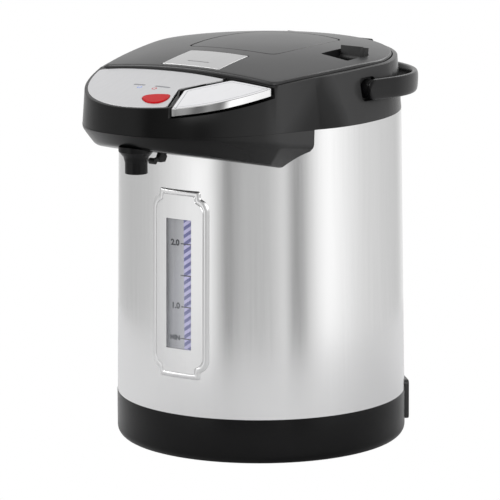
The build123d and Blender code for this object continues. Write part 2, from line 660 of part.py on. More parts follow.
def make_collar():
    """Upper housing: leaning wall with the nose, ledge under the lid, spigot into the sleeve."""
    outer = head(SLEEVE_TOP - 4, ABOVE - 4)
    inner = head(SLEEVE_TOP - 6, ABOVE, COLLAR_WALL)
    wall = outer - inner
    ledge = head(SHELF_Z - SHELF_T, SHELF_Z, 1.0) - disc(NECK_R, SHELF_Z - SHELF_T - 1, SHELF_Z + 1)
    ledge -= block(-130, 130, NOSE_END_Y - 5, LID_FRONT_Y - LID_GAP - BRIDGE_T, BELOW, ABOVE)
    rim_fill = head(SHELF_Z - SHELF_T, ABOVE - 4, 1.0) - block(-130, 130, NOSE_END_Y - 5,
                                                             LID_FRONT_Y - LID_GAP - BRIDGE_T, BELOW, ABOVE + 1)
    rim_fill -= raised(lid_face(SHELF_Z - 1, LID_GAP), ABOVE - SHELF_Z + 2)
    rim_fill -= raised(lid_face(SHELF_Z - SHELF_T - 1, -6.0), SHELF_T + 2)
    spigot_r = SLEEVE_R_TOP - SLEEVE_T - FIT
    spigot = tube(spigot_r, spigot_r - SPIGOT_WALL, SLEEVE_TOP - SPIGOT_RISE, SLEEVE_TOP + 2.5)
    body = (wall + ledge + rim_fill) & above_parting() & collar_top()
    body += spigot - block(-PIPE_ROOM, PIPE_ROOM, -BASE_R, -85, SLEEVE_TOP - SPIGOT_RISE - 1, SLEEVE_TOP + 3)
    ears = hinge_ear(KNUCKLE_HALF + FIT, KNUCKLE_HALF + FIT + EAR_T)
    ears += block(KNUCKLE_HALF + FIT, KNUCKLE_HALF + FIT + EAR_T, HINGE_Y - KNUCKLE_R, HINGE_Y + 1, SHELF_Z - 1, HINGE_Z)
    body += mirrored(ears)
    body -= block(-KNUCKLE_HALF - FIT, KNUCKLE_HALF + FIT, HINGE_Y - KNUCKLE_R - 2, COLLAR_R_LOW + 5, SHELF_Z, ABOVE)
    body -= rod_x(HINGE_PIN_R + SNUG, -KNUCKLE_HALF - EAR_T - 4, KNUCKLE_HALF + EAR_T + 4, HINGE_Y, HINGE_Z)
    cheek_pad = block(POCKET_X - 6.5, COLLAR_R_LOW, HANDLE_Y - 12, HANDLE_Y + 12, SLEEVE_TOP + 8, SHELF_Z)
    cheek_pad &= head(SLEEVE_TOP - 4, ABOVE - 4, 0.5)
    body += mirrored(cheek_pad & above_parting())
    body -= mirrored(handle_pocket())
    body -= mirrored(rod_x(PIVOT_R, POCKET_X - 6, POCKET_X + 1, HANDLE_Y, HANDLE_Z))
    return body


PIVOT_R = 2.0


def make_neck_ring():
    """Inner neck between tank seal and ledge."""
    z0 = TANK_RIM_Z + SEAL_T
    top = SHELF_Z - SHELF_T
    return turned([(NECK_R, z0), (TANK_FLANGE_R - 2, z0), (TANK_FLANGE_R - 2, z0 + 2.5), (NECK_R + NECK_WALL, z0 + 2.5),
                   (NECK_R + NECK_WALL, top), (NECK_R, top)])


def body_cut():
    """Room for the steel sleeve in the nose underside."""
    return sleeve_cone(SLEEVE_GAP, BELOW, SLEEVE_TOP + 8)


def make_nose_underside():
    """Lower shell of the nose, with the holes for spout and cup lever."""
    tub = nose_tub(0.0) - nose_tub_inner()
    tub -= body_cut()
    tub -= disc(SPOUT_R + FIT, BELOW, ABOVE, 0, SPOUT_Y)
    tub -= lever_slot()
    pads = Part()
    for x in (LEVER_HALF + 0.8, -LEVER_HALF - 5.0):
        pads += block(x, x + 4.2, LEVER_Y - 4, LEVER_Y + 4, keel_z(LEVER_Y) + 1, LEVER_PIVOT_Z + 3)
    return tub + pads - rod_x(LEVER_PIN_R, -LEVER_HALF - 6, LEVER_HALF + 6, LEVER_Y, LEVER_PIVOT_Z)


def nose_tub_inner():
    """Hollow of the nose underside, lifted by the wall's thickness."""
    return Pos(0, 0, NOSE_WALL) * nose_tub(NOSE_WALL) + Pos(0, 0, 0.0) * loft(
        [sloped_nose(parting_line, PARTING_SLOPE, NOSE_WALL), Pos(0, 0, 4) * sloped_nose(parting_line, PARTING_SLOPE,
                                                                                       NOSE_WALL)], ruled=True)


# ---- spout and cup lever ----------------------------------------------------------------------------------
SPOUT_Y = -154.3
SPOUT_R = 8.0
SPOUT_BORE = 4.5
SPOUT_Z0 = 217.0
SPOUT_FLARE_R = 12.4
SPOUT_TOP = 243.0
LEVER_Y = -123.8
LEVER_Z = 223.6
LEVER_BLADE = 1.6           # half thickness of the lever below its hub
LEVER_HALF = 3.4
LEVER_PIVOT_Z = 240.0
LEVER_PIN_R = 1.2


def make_spout_nozzle():
    """Round nozzle that flares out under the nose."""
    foot = keel_z(SPOUT_Y)
    flare = turned([(SPOUT_R, foot - 9.0), (SPOUT_R + 1.0, foot - 5.0), (SPOUT_FLARE_R, foot - 1.0),
                    (SPOUT_FLARE_R, foot + 4.0), (0, foot + 4.0), (0, foot - 9.0)])
    half_y = 20.0
    under = side_prism([(SPOUT_Y - half_y, keel_z(SPOUT_Y - half_y)), (SPOUT_Y + half_y, keel_z(SPOUT_Y + half_y)),
                        (SPOUT_Y + half_y, BELOW), (SPOUT_Y - half_y, BELOW)], -30, 30)
    nozzle = (Pos(0, SPOUT_Y, 0) * flare) & under
    nozzle += disc(SPOUT_R, SPOUT_Z0, SPOUT_TOP, 0, SPOUT_Y)
    return nozzle - disc(SPOUT_BORE, SPOUT_Z0 - 1, SPOUT_TOP + 1, 0, SPOUT_Y)


def make_spout_pipe():
    """Silicone pipe from the sight tube over the sleeve's edge to the nozzle."""
    points = [(TUBE_X, TUBE_Y, SIGHT_Z1), (TUBE_X, TUBE_Y, PIPE_Z), (0, SPOUT_Y, PIPE_Z), (0, SPOUT_Y, SPOUT_TOP)]
    return pipe(TUBE_R + 0.6, TUBE_BORE, points, HOSE_BEND)


PIPE_Z = 253.0


def make_cup_lever():
    """Lever behind the spout that a cup pushes back to draw water: arm, six-sided block and round pusher."""
    y, z = LEVER_Y, LEVER_Z
    six = [(y - 4.8, z), (y - 3, z - 3.2), (y + 2.4, z - 3.5), (y + 4.8, z), (y + 2.6, z + 3.4), (y - 2.8, z + 3.4)]
    lever = side_prism(six, -LEVER_BLADE, LEVER_BLADE)
    lever += block(-LEVER_BLADE, LEVER_BLADE, y - 2.4, y + 2.4, z, LEVER_PIVOT_Z)
    lever += rod_x(3.0, -LEVER_HALF, LEVER_HALF, y, LEVER_PIVOT_Z)
    lever += rod_x(2.2, -LEVER_BLADE - 0.8, LEVER_BLADE + 0.8, y - 10.6, z - 1.2)
    lever += side_prism([(y - 10.6, z - 2.6), (y - 3, z - 2.2), (y - 3, z + 1), (y - 10.6, z)], -1, 1)
    return lever - rod_x(LEVER_PIN_R + RUN_FIT, -LEVER_HALF - 1, LEVER_HALF + 1, y, LEVER_PIVOT_Z)


def make_cup_lever_pin():
    return rod_x(LEVER_PIN_R, -LEVER_HALF - 5, LEVER_HALF + 5, LEVER_Y, LEVER_PIVOT_Z)


def lever_slot():
    """Slot for the cup lever in the nose's bottom."""
    half = LEVER_HALF + 1.8
    return block(-half, half, LEVER_Y - 14, LEVER_Y + 10.5, BELOW, LEVER_PIVOT_Z - 5)


# ---- control panel ----------------------------------------------------------------------------------------
BUTTON_X = 12.5
BUTTON_Y = -148.0
BUTTON_A = 9.3
BUTTON_B = 6.2
LIGHT_PLACES = [(-14.0, -130.0), (0.6, -130.0)]
LIGHT_R = 1.6
SLOPE_A = degrees(atan(NOSE_TOP_SLOPE))


def on_nose(x, y, drop=0.0):
    """Plane square to the nose's slope, sunk by drop under its top at a place in plan."""
    z = nose_top(y) - x * x / CROWN
    length = sqrt(1 + NOSE_TOP_SLOPE ** 2)
    origin = (x, y + drop * NOSE_TOP_SLOPE / length, z - drop / length)
    return Plane(origin=origin, x_dir=(1, 0, 0), z_dir=(0, -NOSE_TOP_SLOPE, 1))


def panel_plan(paddle_side=None):
    """Plan block of the control panel: the nose inside its rim, without the paddle's share."""
    plan = head(PANEL_LOW, PANEL_HIGH, COLLAR_WALL + FIT)
    plan &= block(-130, 130, NOSE_END_Y, PADDLE_REAR_Y - 0.4, PANEL_LOW, PANEL_HIGH)
    side = EDGE_GAP + SIDE_WALL if paddle_side is None else paddle_side
    return plan - paddle_plan(PANEL_LOW - 1, PANEL_HIGH + 1, side)


TRAY_WALL_H = 13.0
SIDE_WALL = 1.8             # wall between control panel and paddle
PANEL_LOW = 255.0
PANEL_HIGH = 290.0


def nose_layer(top_drop, thickness):
    """Layer parallel to the nose's top."""
    return nose_block(BELOW, top_drop, LID_FRONT_Y + 4) - nose_block(BELOW - 1, top_drop + thickness, LID_FRONT_Y + 4)


def make_control_panel():
    """Silver panel with the openings for button and lights."""
    panel = panel_plan() & nose_layer(PANEL_SINK, PANEL_T)
    button_hole = extrude(on_nose(BUTTON_X, BUTTON_Y) * Ellipse(BUTTON_A + FIT, BUTTON_B + FIT), 8, both=True)
    panel -= button_hole
    for x, y in LIGHT_PLACES:
        panel -= extrude(on_nose(x, y) * Circle(LIGHT_R + 0.1), 8, both=True)
    return panel


def make_panel_tray():
    """Black carrier under the panel, which closes the nose's top."""
    tray = panel_plan(EDGE_GAP) & nose_layer(PANEL_SINK + PANEL_T + SNUG, 2.0)
    tray += (panel_plan(EDGE_GAP) - panel_plan(EDGE_GAP + SIDE_WALL - FIT)) & nose_layer(0.4, TRAY_WALL_H)
    tray -= extrude(on_nose(BUTTON_X, BUTTON_Y) * Ellipse(BUTTON_A + FIT, BUTTON_B + FIT), 10, both=True)
    for x, y in LIGHT_PLACES:
        tray -= extrude(on_nose(x, y) * Circle(LIGHT_R + 0.1), 10, both=True)
    return tray


def make_light(x, y):
    """Light pipe that ends flush in the panel."""
    return extrude(on_nose(x, y, PANEL_SINK + BOARD_DROP - 0.5) * Circle(LIGHT_R), BOARD_DROP - 0.2)


BOARD_DROP = 8.0
BOARD_X = -7.5
BOARD_W = 47.0
BUTTON_TRAVEL = 1.2


def make_reboil_button():
    """Oval button, domed on top, with a stem that reaches the switch."""
    plane = on_nose(BUTTON_X, BUTTON_Y, PANEL_SINK + 3.4)
    cap = extrude(plane * Ellipse(BUTTON_A, BUTTON_B), 5.2)
    top = cap.faces().sort_by(Axis.Z)[-1]
    cap = fillet(top.edges(), 1.2)
    return cap + extrude(on_nose(BUTTON_X, BUTTON_Y, PANEL_SINK + BOARD_DROP - 2.6) * Circle(2.2), 5)


def make_control_board():
    """Board under the panel with the button's switch."""
    plane = on_nose(0, -137, PANEL_SINK + BOARD_DROP)
    board = extrude(plane * Pos(BOARD_X, 0) * Rectangle(BOARD_W, 34), -1.6)
    switch = extrude(on_nose(BUTTON_X, BUTTON_Y, PANEL_SINK + BOARD_DROP) * Rectangle(7, 7), 1.2)
    return board + switch


# ---- dispense paddle --------------------------------------------------------------------------------------
PADDLE_PIN_R = 1.5
PADDLE_PIVOT_Y = -99.5
PADDLE_PIVOT_DROP = 8.0


def make_dispense_paddle():
    """Silver paddle on the nose's right shoulder, hinged at its rear."""
    plan = head(PANEL_LOW, PANEL_HIGH) & paddle_plan(PANEL_LOW, PANEL_HIGH)
    paddle = plan & nose_layer(-0.4, PADDLE_T)
    z = paddle_pivot_z()
    lugs = Part()
    for x in (PADDLE_LUG_X0, PADDLE_LUG_X1):
        lugs += rod_x(3.0, x, x + 5, PADDLE_PIVOT_Y, z)
        lugs += block(x, x + 5, PADDLE_PIVOT_Y - 3, PADDLE_PIVOT_Y + 3, z, z + 6)
    paddle += lugs & nose_block(BELOW, 1.0, LID_FRONT_Y + 4)
    return paddle - rod_x(PADDLE_PIN_R + RUN_FIT, PADDLE_LUG_X0 - 2, PADDLE_LUG_X1 + 7, PADDLE_PIVOT_Y, z)


PADDLE_LUG_X0 = 41.0
PADDLE_LUG_X1 = 54.0


def paddle_pivot_z():
    mid_x = (PADDLE_LUG_X0 + PADDLE_LUG_X1) / 2
    return nose_top(PADDLE_PIVOT_Y) - mid_x ** 2 / CROWN - PADDLE_PIVOT_DROP


def make_paddle_pin():
    return rod_x(PADDLE_PIN_R, PADDLE_LUG_X0 - 5, PADDLE_LUG_X1 + 10, PADDLE_PIVOT_Y, paddle_pivot_z())


def paddle_well():
    """Room under the paddle, cut out of the collar's nose wall."""
    plan = head(PANEL_LOW, PANEL_HIGH, -2.0) & paddle_plan(PANEL_LOW, PANEL_HIGH, EDGE_GAP)
    return plan & nose_layer(-6.0, PADDLE_T + 6.0 + PADDLE_GAP)


def make_paddle_cradle():
    """Black shell under the paddle: floor, pin posts and the seat of spring and switch."""
    plan = head(PANEL_LOW - 15, PANEL_HIGH, COLLAR_WALL + FIT) & paddle_plan(PANEL_LOW - 15, PANEL_HIGH, -0.3)
    floor = plan & nose_layer(PADDLE_T + PADDLE_GAP + 5.5, 2.0)
    z = paddle_pivot_z()
    posts = Part()
    for x in (PADDLE_LUG_X0 - 5, PADDLE_LUG_X1 + 6):
        posts += block(x, x + 4, PADDLE_PIVOT_Y - 3, PADDLE_PIVOT_Y + 3, z - 9, z + 2.2)
    posts &= nose_block(BELOW, PADDLE_T + 0.3, LID_FRONT_Y + 4) - nose_block(
        BELOW - 1, PADDLE_T + PADDLE_GAP + 6.5, LID_FRONT_Y + 4)
    cradle = floor + posts
    return cradle - rod_x(PADDLE_PIN_R, PADDLE_LUG_X0 - 6, PADDLE_LUG_X1 + 12, PADDLE_PIVOT_Y, z)


def cradle_floor_z(x, y):
    return nose_top(y) - x * x / CROWN - PADDLE_T - PADDLE_GAP - 5.5


SWITCH_X, SWITCH_Y = 46.0, -124.0
PSPRING_X, PSPRING_Y = 36.0, -118.0


def make_paddle_switch():
    z = cradle_floor_z(SWITCH_X, SWITCH_Y)
    body = block(SWITCH_X - 3, SWITCH_X + 3, SWITCH_Y - 5, SWITCH_Y + 5, z - 1.5, z + 4.4)
    return (body + disc(1.2, z + 4.4, z + 6.8, SWITCH_X, SWITCH_Y)) - nose_block(
        BELOW, PADDLE_T + PADDLE_GAP + 5.5, LID_FRONT_Y + 4)


def make_paddle_spring():
    z0 = cradle_floor_z(PSPRING_X, PSPRING_Y) + 0.5
    z1 = nose_top(PSPRING_Y) - PSPRING_X ** 2 / CROWN - PADDLE_T - 0.6
    return spring(3.0, 0.4, z0, z1, 5, PSPRING_X, PSPRING_Y)


# ---- lid --------------------------------------------------------------------------------------------------
PRESS_FRONT_Y = -37.0
PRESS_REAR_Y = 51.0
PRESS_HALF = 36.5
PRESS_SIDE_BOW = 4.0
PRESS_REAR_BOW = 10.0
PRESS_FRONT_BOW = 1.5
PRESS_CORNER = 9.0
PRESS_GAP = 0.6
PRESS_T = 2.6
PRESS_TRAVEL = 12.0
LATCH_HALF = 24.6
LATCH_Y0 = -87.6
LATCH_Y1 = -51.0
LATCH_T = 2.4
LATCH_GAP = 0.5
LATCH_REAR_GAP = 0.9
LATCH_PIN_R = 0.9
LATCH_LUG_R = 1.9
LATCH_PIN_DROP = 2.1
FLAP_X0 = 58.0
FLAP_X1 = 81.0
FLAP_Y0 = -9.0
FLAP_Y1 = 21.0
FLAP_DEPTH = 9.5
LID_BASE_T = 2.5
BELLOWS_R = 31.0
BELLOWS_HOLE_R = 36.0
LINER_R = 74.0
LINER_Z = 243.0
LINER_T = 1.0


def press_face(z, grow=0.0):
    """Barrel-shaped plan of the press plate."""
    h, f, r = PRESS_HALF + grow, PRESS_FRONT_Y - grow, PRESS_REAR_Y + grow
    mid_y = (f + r) / 2
    front = ThreePointArc((-h, f), (0, f - PRESS_FRONT_BOW), (h, f))
    right = ThreePointArc((h, f), (h + PRESS_SIDE_BOW, mid_y), (h, r))
    rear = ThreePointArc((h, r), (0, r + PRESS_REAR_BOW), (-h, r))
    left = ThreePointArc((-h, r), (-h - PRESS_SIDE_BOW, mid_y), (-h, f))
    face = make_face([front, right, rear, left])
    return Pos(0, 0, z) * fillet(face.vertices(), PRESS_CORNER + grow)


def press_block(z0, z1, grow=0.0):
    return raised(press_face(z0, grow), z1 - z0)


def lid_top(x, y):
    """Height of the lid's top surface, from the profile by straight steps."""
    for (y0, z0, c0), (y1, z1, c1) in zip(LID_PROFILE, LID_PROFILE[1:]):
        if y0 <= y <= y1:
            t = (y - y0) / (y1 - y0)
            return mix(z0, z1, t) - x * x / mix(c0, c1, t)
    return LID_PROFILE[-1][1]


def latch_pocket(grow, deeper):
    """Block of the latch plate's place in the lid."""
    return block(-LATCH_HALF - grow, LATCH_HALF + grow, LATCH_Y0 - grow, LATCH_Y1 + grow + LATCH_REAR_GAP - LATCH_GAP,
                 LID_SKIRT_Z - deeper, ABOVE)


def make_lid_cover():
    """Domed outer shell of the lid, with the hinge knuckle at its rear."""
    outer = raised(lid_face(LID_SKIRT_Z), ABOVE - LID_SKIRT_Z) & lid_block(BELOW)
    inner = raised(lid_face(LID_SKIRT_Z - 1, -LID_WALL), ABOVE - LID_SKIRT_Z + 1) & lid_block(BELOW, LID_WALL)
    shell = outer - inner
    shell += curb(press_block(LID_SKIRT_Z + LID_BASE_T, ABOVE, PRESS_GAP + 2.0))
    shell -= press_block(LID_SKIRT_Z, ABOVE, PRESS_GAP)
    latch_well = latch_pocket(LATCH_GAP + 2.0, 0) & (lid_block(BELOW) - lid_block(BELOW - 1, LATCH_WELL + 2.0))
    shell += latch_well
    shell -= latch_pocket(LATCH_GAP, 1) - lid_block(BELOW - 1, LATCH_WELL)
    flap_well = block(FLAP_X0 - 2, FLAP_X1 + 2, FLAP_Y0 - 2, FLAP_Y1 + 2, LID_SKIRT_Z, ABOVE)
    shell += flap_well & (lid_block(BELOW) - lid_block(BELOW - 1, FLAP_DEPTH + 2))
    shell -= block(FLAP_X0, FLAP_X1, FLAP_Y0, FLAP_Y1, LID_SKIRT_Z, ABOVE) - lid_block(BELOW - 1, FLAP_DEPTH)
    for i in range(3):
        x = FLAP_X0 + 5 + 6 * i
        shell -= block(x, x + 2, FLAP_Y0 + 3, FLAP_Y0 + 12, LID_SKIRT_Z + LID_BASE_T, ABOVE)
    shell += rod_x(KNUCKLE_R, -KNUCKLE_HALF, KNUCKLE_HALF, HINGE_Y, HINGE_Z)
    ear_room = rod_x(KNUCKLE_R + 0.8, KNUCKLE_HALF, KNUCKLE_HALF + EAR_T + 1.2, HINGE_Y, HINGE_Z)
    ear_room += block(KNUCKLE_HALF, KNUCKLE_HALF + EAR_T + 1.2, HINGE_Y - KNUCKLE_R - 0.8, HINGE_Y + 8, LID_SKIRT_Z - 1,
                      HINGE_Z)
    shell -= mirrored(ear_room)
    shell -= rod_x(HINGE_PIN_R + RUN_FIT, -KNUCKLE_HALF - 1, KNUCKLE_HALF + 1, HINGE_Y, HINGE_Z)
    shell -= block(-BOLT_HALF - 0.5, BOLT_HALF + 0.5, LID_FRONT_Y - 4, LATCH_Y0 + 6, BOLT_Z0 - 0.4, BOLT_Z1 + 0.4)
    return shell - make_latch_pin() - make_lock_lever_pin()


LATCH_WELL = 7.5            # depth of the latch plate's well under the lid's surface
BOLT_HALF = 14.0
BOLT_Z0 = 270.9
BOLT_Z1 = 273.3


def curb(column):
    """Rib that stands down round the press plate's opening."""
    return (column - press_block(BELOW, ABOVE, PRESS_GAP)) & lid_block(BELOW, 0.6)


def make_lid_base():
    """Flat floor of the lid, inside the skirt."""
    floor = raised(lid_face(LID_SKIRT_Z, -LID_WALL - FIT), LID_BASE_T)
    floor -= disc(BELLOWS_HOLE_R, LID_SKIRT_Z - 1, LID_SKIRT_Z + LID_BASE_T + 1)
    rear_room = block(-KNUCKLE_HALF - EAR_T - 3, KNUCKLE_HALF + EAR_T + 3, HINGE_Y - KNUCKLE_R - 1.5, HINGE_Y + 8,
                      LID_SKIRT_Z - 1, LID_SKIRT_Z + LID_BASE_T + 1)
    return floor - rear_room - disc(4.0, LID_SKIRT_Z - 1, LID_SKIRT_Z + LID_BASE_T + 1, VALVE_X, VALVE_Y)


VALVE_X = 56.0
VALVE_Y = 8.0
GASKET_R = 81.0


def make_lid_liner():
    """Steel dish that closes the neck, bolted under the lid's floor."""
    top = LID_SKIRT_Z
    dish = turned([(PUMP_PORT_R, LINER_Z), (LINER_R, LINER_Z), (LINER_R, top - 1.2), (GASKET_R - 2, top - 1.2),
                   (GASKET_R - 2, top), (LINER_R - LINER_T, top), (LINER_R - LINER_T, LINER_Z + LINER_T),
                   (PUMP_PORT_R, LINER_Z + LINER_T)])
    return dish - disc(1.6, LINER_Z - 1, LINER_Z + 3, VALVE_X, VALVE_Y)


PUMP_PORT_R = 12.0


def make_lid_gasket():
    """Silicone ring round the liner, under its flange."""
    top = LID_SKIRT_Z - 1.2
    return turned([(LINER_R, top - 4), (GASKET_R - 1.5, top - 4), (GASKET_R, top - 2), (GASKET_R - 1.5, top),
                   (LINER_R, top)])


def make_air_pump_base():
    """Seat of the bellows with the air valve in its middle."""
    z = LINER_Z + LINER_T
    seat = disc(BELLOWS_R + 2, z, z + 3) + disc(PUMP_PORT_R - 0.3, LINER_Z, z)
    seat += disc(9, z + 3, z + 5)
    return seat - disc(2.0, LINER_Z - 1, z + 6)


def make_bellows():
    """Rubber bellows between its seat and the press plate."""
    z0, z1 = bellows_span()
    folds = 4
    step = (z1 - z0) / (2 * folds)
    outer = [(BELLOWS_R - 4 * (i % 2), z0 + step * i) for i in range(2 * folds + 1)]
    inner = [(r - 1.4, z) for r, z in reversed(outer)]
    return turned(outer + inner)


def bellows_span():
    return LINER_Z + LINER_T + 3, press_under()


def press_under():
    """Level of the press plate's flat under-face."""
    return lid_top(PRESS_HALF + PRESS_SIDE_BOW, PRESS_FRONT_Y) - PRESS_T - 2.0


def make_bellows_spring():
    z0, z1 = bellows_span()
    return spring(16.0, 0.9, z0 + 0.1, z1 - 0.1, 5)


def make_press_plate():
    """Plate that works the air pump by hand."""
    under = press_under()
    plate = press_block(under, ABOVE) & lid_block(BELOW)
    hollow = press_block(under - 1, ABOVE, -PRESS_T) & lid_block(BELOW, PRESS_T)
    rib = disc(BELLOWS_R + 1, under, under + 6)
    return plate - (hollow - rib) & lid_block(BELOW)


def make_steam_valve():
    """Weight-loaded steam valve that shuts if the pot tips over."""
    z0 = LINER_Z + LINER_T
    body = disc(7.0, z0, LID_SKIRT_Z, VALVE_X, VALVE_Y) + disc(3.8, LID_SKIRT_Z, LID_SKIRT_Z + 5, VALVE_X, VALVE_Y)
    return body - disc(1.6, z0 - 1, LID_SKIRT_Z + 6, VALVE_X, VALVE_Y)


def latch_pin_z():
    return lid_top(0, LATCH_PIN_Y) - LATCH_PIN_DROP


LATCH_PIN_Y = LATCH_Y1 - LATCH_LUG_R


def make_latch_plate():
    """Silver plate that is lifted at its front edge to free the lid."""
    plate = block(-LATCH_HALF, LATCH_HALF, LATCH_Y0, LATCH_Y1, LID_SKIRT_Z, ABOVE)
    plate &= lid_block(BELOW, -0.2) - lid_block(BELOW - 1, LATCH_T)
    z = latch_pin_z()
    for x in (-LATCH_HALF + 2, LATCH_HALF - 6):
        plate += rod_x(LATCH_LUG_R, x, x + 4, LATCH_PIN_Y, z)
    groove = block(-9, 9, LATCH_Y0 + 9.5, LATCH_Y0 + 10.5, LID_SKIRT_Z, ABOVE) - lid_block(BELOW - 1, 0.6)
    return plate - groove - rod_x(LATCH_PIN_R + RUN_FIT, -LATCH_HALF - 1, LATCH_HALF + 1, LATCH_PIN_Y, z)


def make_latch_pin():
    return rod_x(LATCH_PIN_R, -LATCH_HALF - LATCH_GAP - 1.8, LATCH_HALF + LATCH_GAP + 1.8, LATCH_PIN_Y, latch_pin_z())


def make_latch_bolt():
    """Sliding bolt behind the lid's front edge."""
    bolt = block(-BOLT_HALF, BOLT_HALF, LID_FRONT_Y - BOLT_REACH, LATCH_Y0 + 5, BOLT_Z0, BOLT_Z1)
    return bolt


BOLT_REACH = 0.0


def flap_pivot():
    y = FLAP_Y1 - 4.5
    return y, lid_top((FLAP_X0 + FLAP_X1) / 2, y) - 4.6


def make_lock_lever():
    """Lever that stands in its recess and folds down to lock the press plate."""
    y, z = flap_pivot()
    x0, x1 = FLAP_X0 + 1.0, FLAP_X1 - 1.0
    lever = rod_x(2.8, x0, x1, y, z)
    blade = block(x0, x1 - 3.5, -1.3, 1.3, 0, 9.0)
    blade += block(x1 - 3.5, x1, -2.8, 2.8, 0, 8.6)
    lever += Pos(0, y, z) * Rot(FLAP_LEAN, 0, 0) * blade
    return lever - rod_x(1.2 + RUN_FIT, x0 - 1, x1 + 1, y, z)


FLAP_LEAN = -8.0


def make_lock_lever_pin():
    y, z = flap_pivot()
    return rod_x(1.2, FLAP_X0 - 1.6, FLAP_X1 + 1.6, y, z)


def make_lid_hinge_pin():
    reach = KNUCKLE_HALF + FIT + EAR_T
    return rod_x(HINGE_PIN_R, -reach, reach, HINGE_Y, HINGE_Z)


# ---- handle -----------------------------------------------------------------------------------------------
HANDLE_OUT_R = 104.6
HANDLE_C_Y = 18.0
HANDLE_H = 15.2
HANDLE_ARM_T = 3.6
HANDLE_GRIP_T = 9.5
HANDLE_FRONT_Y = HANDLE_Y - 8.0
HANDLE_SLOPE = 3.8
HANDLE_EDGE = 2.8           # rounding of the long outer edges


def make_carry_handle():
    """Bail that lies round the rear of the collar: two arms and a half-round grip."""
    z0, z1 = HANDLE_Z - HANDLE_H / 2, HANDLE_Z + HANDLE_H / 2
    arm_in = HANDLE_OUT_R - HANDLE_ARM_T
    rear_in_y = HANDLE_C_Y + HANDLE_OUT_R - HANDLE_GRIP_T
    outer = make_face([
        Line((HANDLE_OUT_R, HANDLE_FRONT_Y), (HANDLE_OUT_R, HANDLE_C_Y)),
        CenterArc((0, HANDLE_C_Y), HANDLE_OUT_R, 0, 180),
        Line((-HANDLE_OUT_R, HANDLE_C_Y), (-HANDLE_OUT_R, HANDLE_FRONT_Y)),
        Line((-HANDLE_OUT_R, HANDLE_FRONT_Y), (HANDLE_OUT_R, HANDLE_FRONT_Y))])
    inner = make_face([
        Line((arm_in, HANDLE_FRONT_Y - 1), (arm_in, HANDLE_C_Y - 2)),
        EllipticalCenterArc((0, HANDLE_C_Y - 2), arm_in, rear_in_y - HANDLE_C_Y + 2, 0, arc_size=180),
        Line((-arm_in, HANDLE_C_Y - 2), (-arm_in, HANDLE_FRONT_Y - 1)),
        Line((-arm_in, HANDLE_FRONT_Y - 1), (arm_in, HANDLE_FRONT_Y - 1))])
    bail = Pos(0, 0, z0) * (raised(outer, z1 - z0) - raised(inner, z1 - z0))
    ends = bail.edges().filter_by(Axis.X).group_by(Axis.Y)[0]
    bail = fillet(ends, 3.0)
    outer_face = bail.faces().filter_by(GeomType.CYLINDER).sort_by(SortBy.AREA)[-1]
    long_edges = outer_face.edges().filter_by(GeomType.CIRCLE)
    straight = bail.edges().filter_by(Axis.Y).filter_by(lambda e: abs(e.center().X) > HANDLE_OUT_R - 0.01)
    bail = fillet(long_edges + straight, HANDLE_EDGE)
    bail = Pos(0, HANDLE_Y, HANDLE_Z) * Rot(-HANDLE_SLOPE, 0, 0) * Pos(0, -HANDLE_Y, -HANDLE_Z) * bail
    boss = rod_x(HANDLE_BOSS_R, POCKET_X + 0.5, arm_in + 1, HANDLE_Y, HANDLE_Z)
    bail += mirrored(boss)
    return bail - mirrored(rod_x(PIVOT_R + RUN_FIT, POCKET_X, POCKET_X + 8, HANDLE_Y, HANDLE_Z))


def make_handle_pivots():
    """Steel pins from the collar's cheeks into the handle's bosses."""
    return mirrored(rod_x(PIVOT_R, POCKET_X - 6, POCKET_X + 7.5, HANDLE_Y, HANDLE_Z))


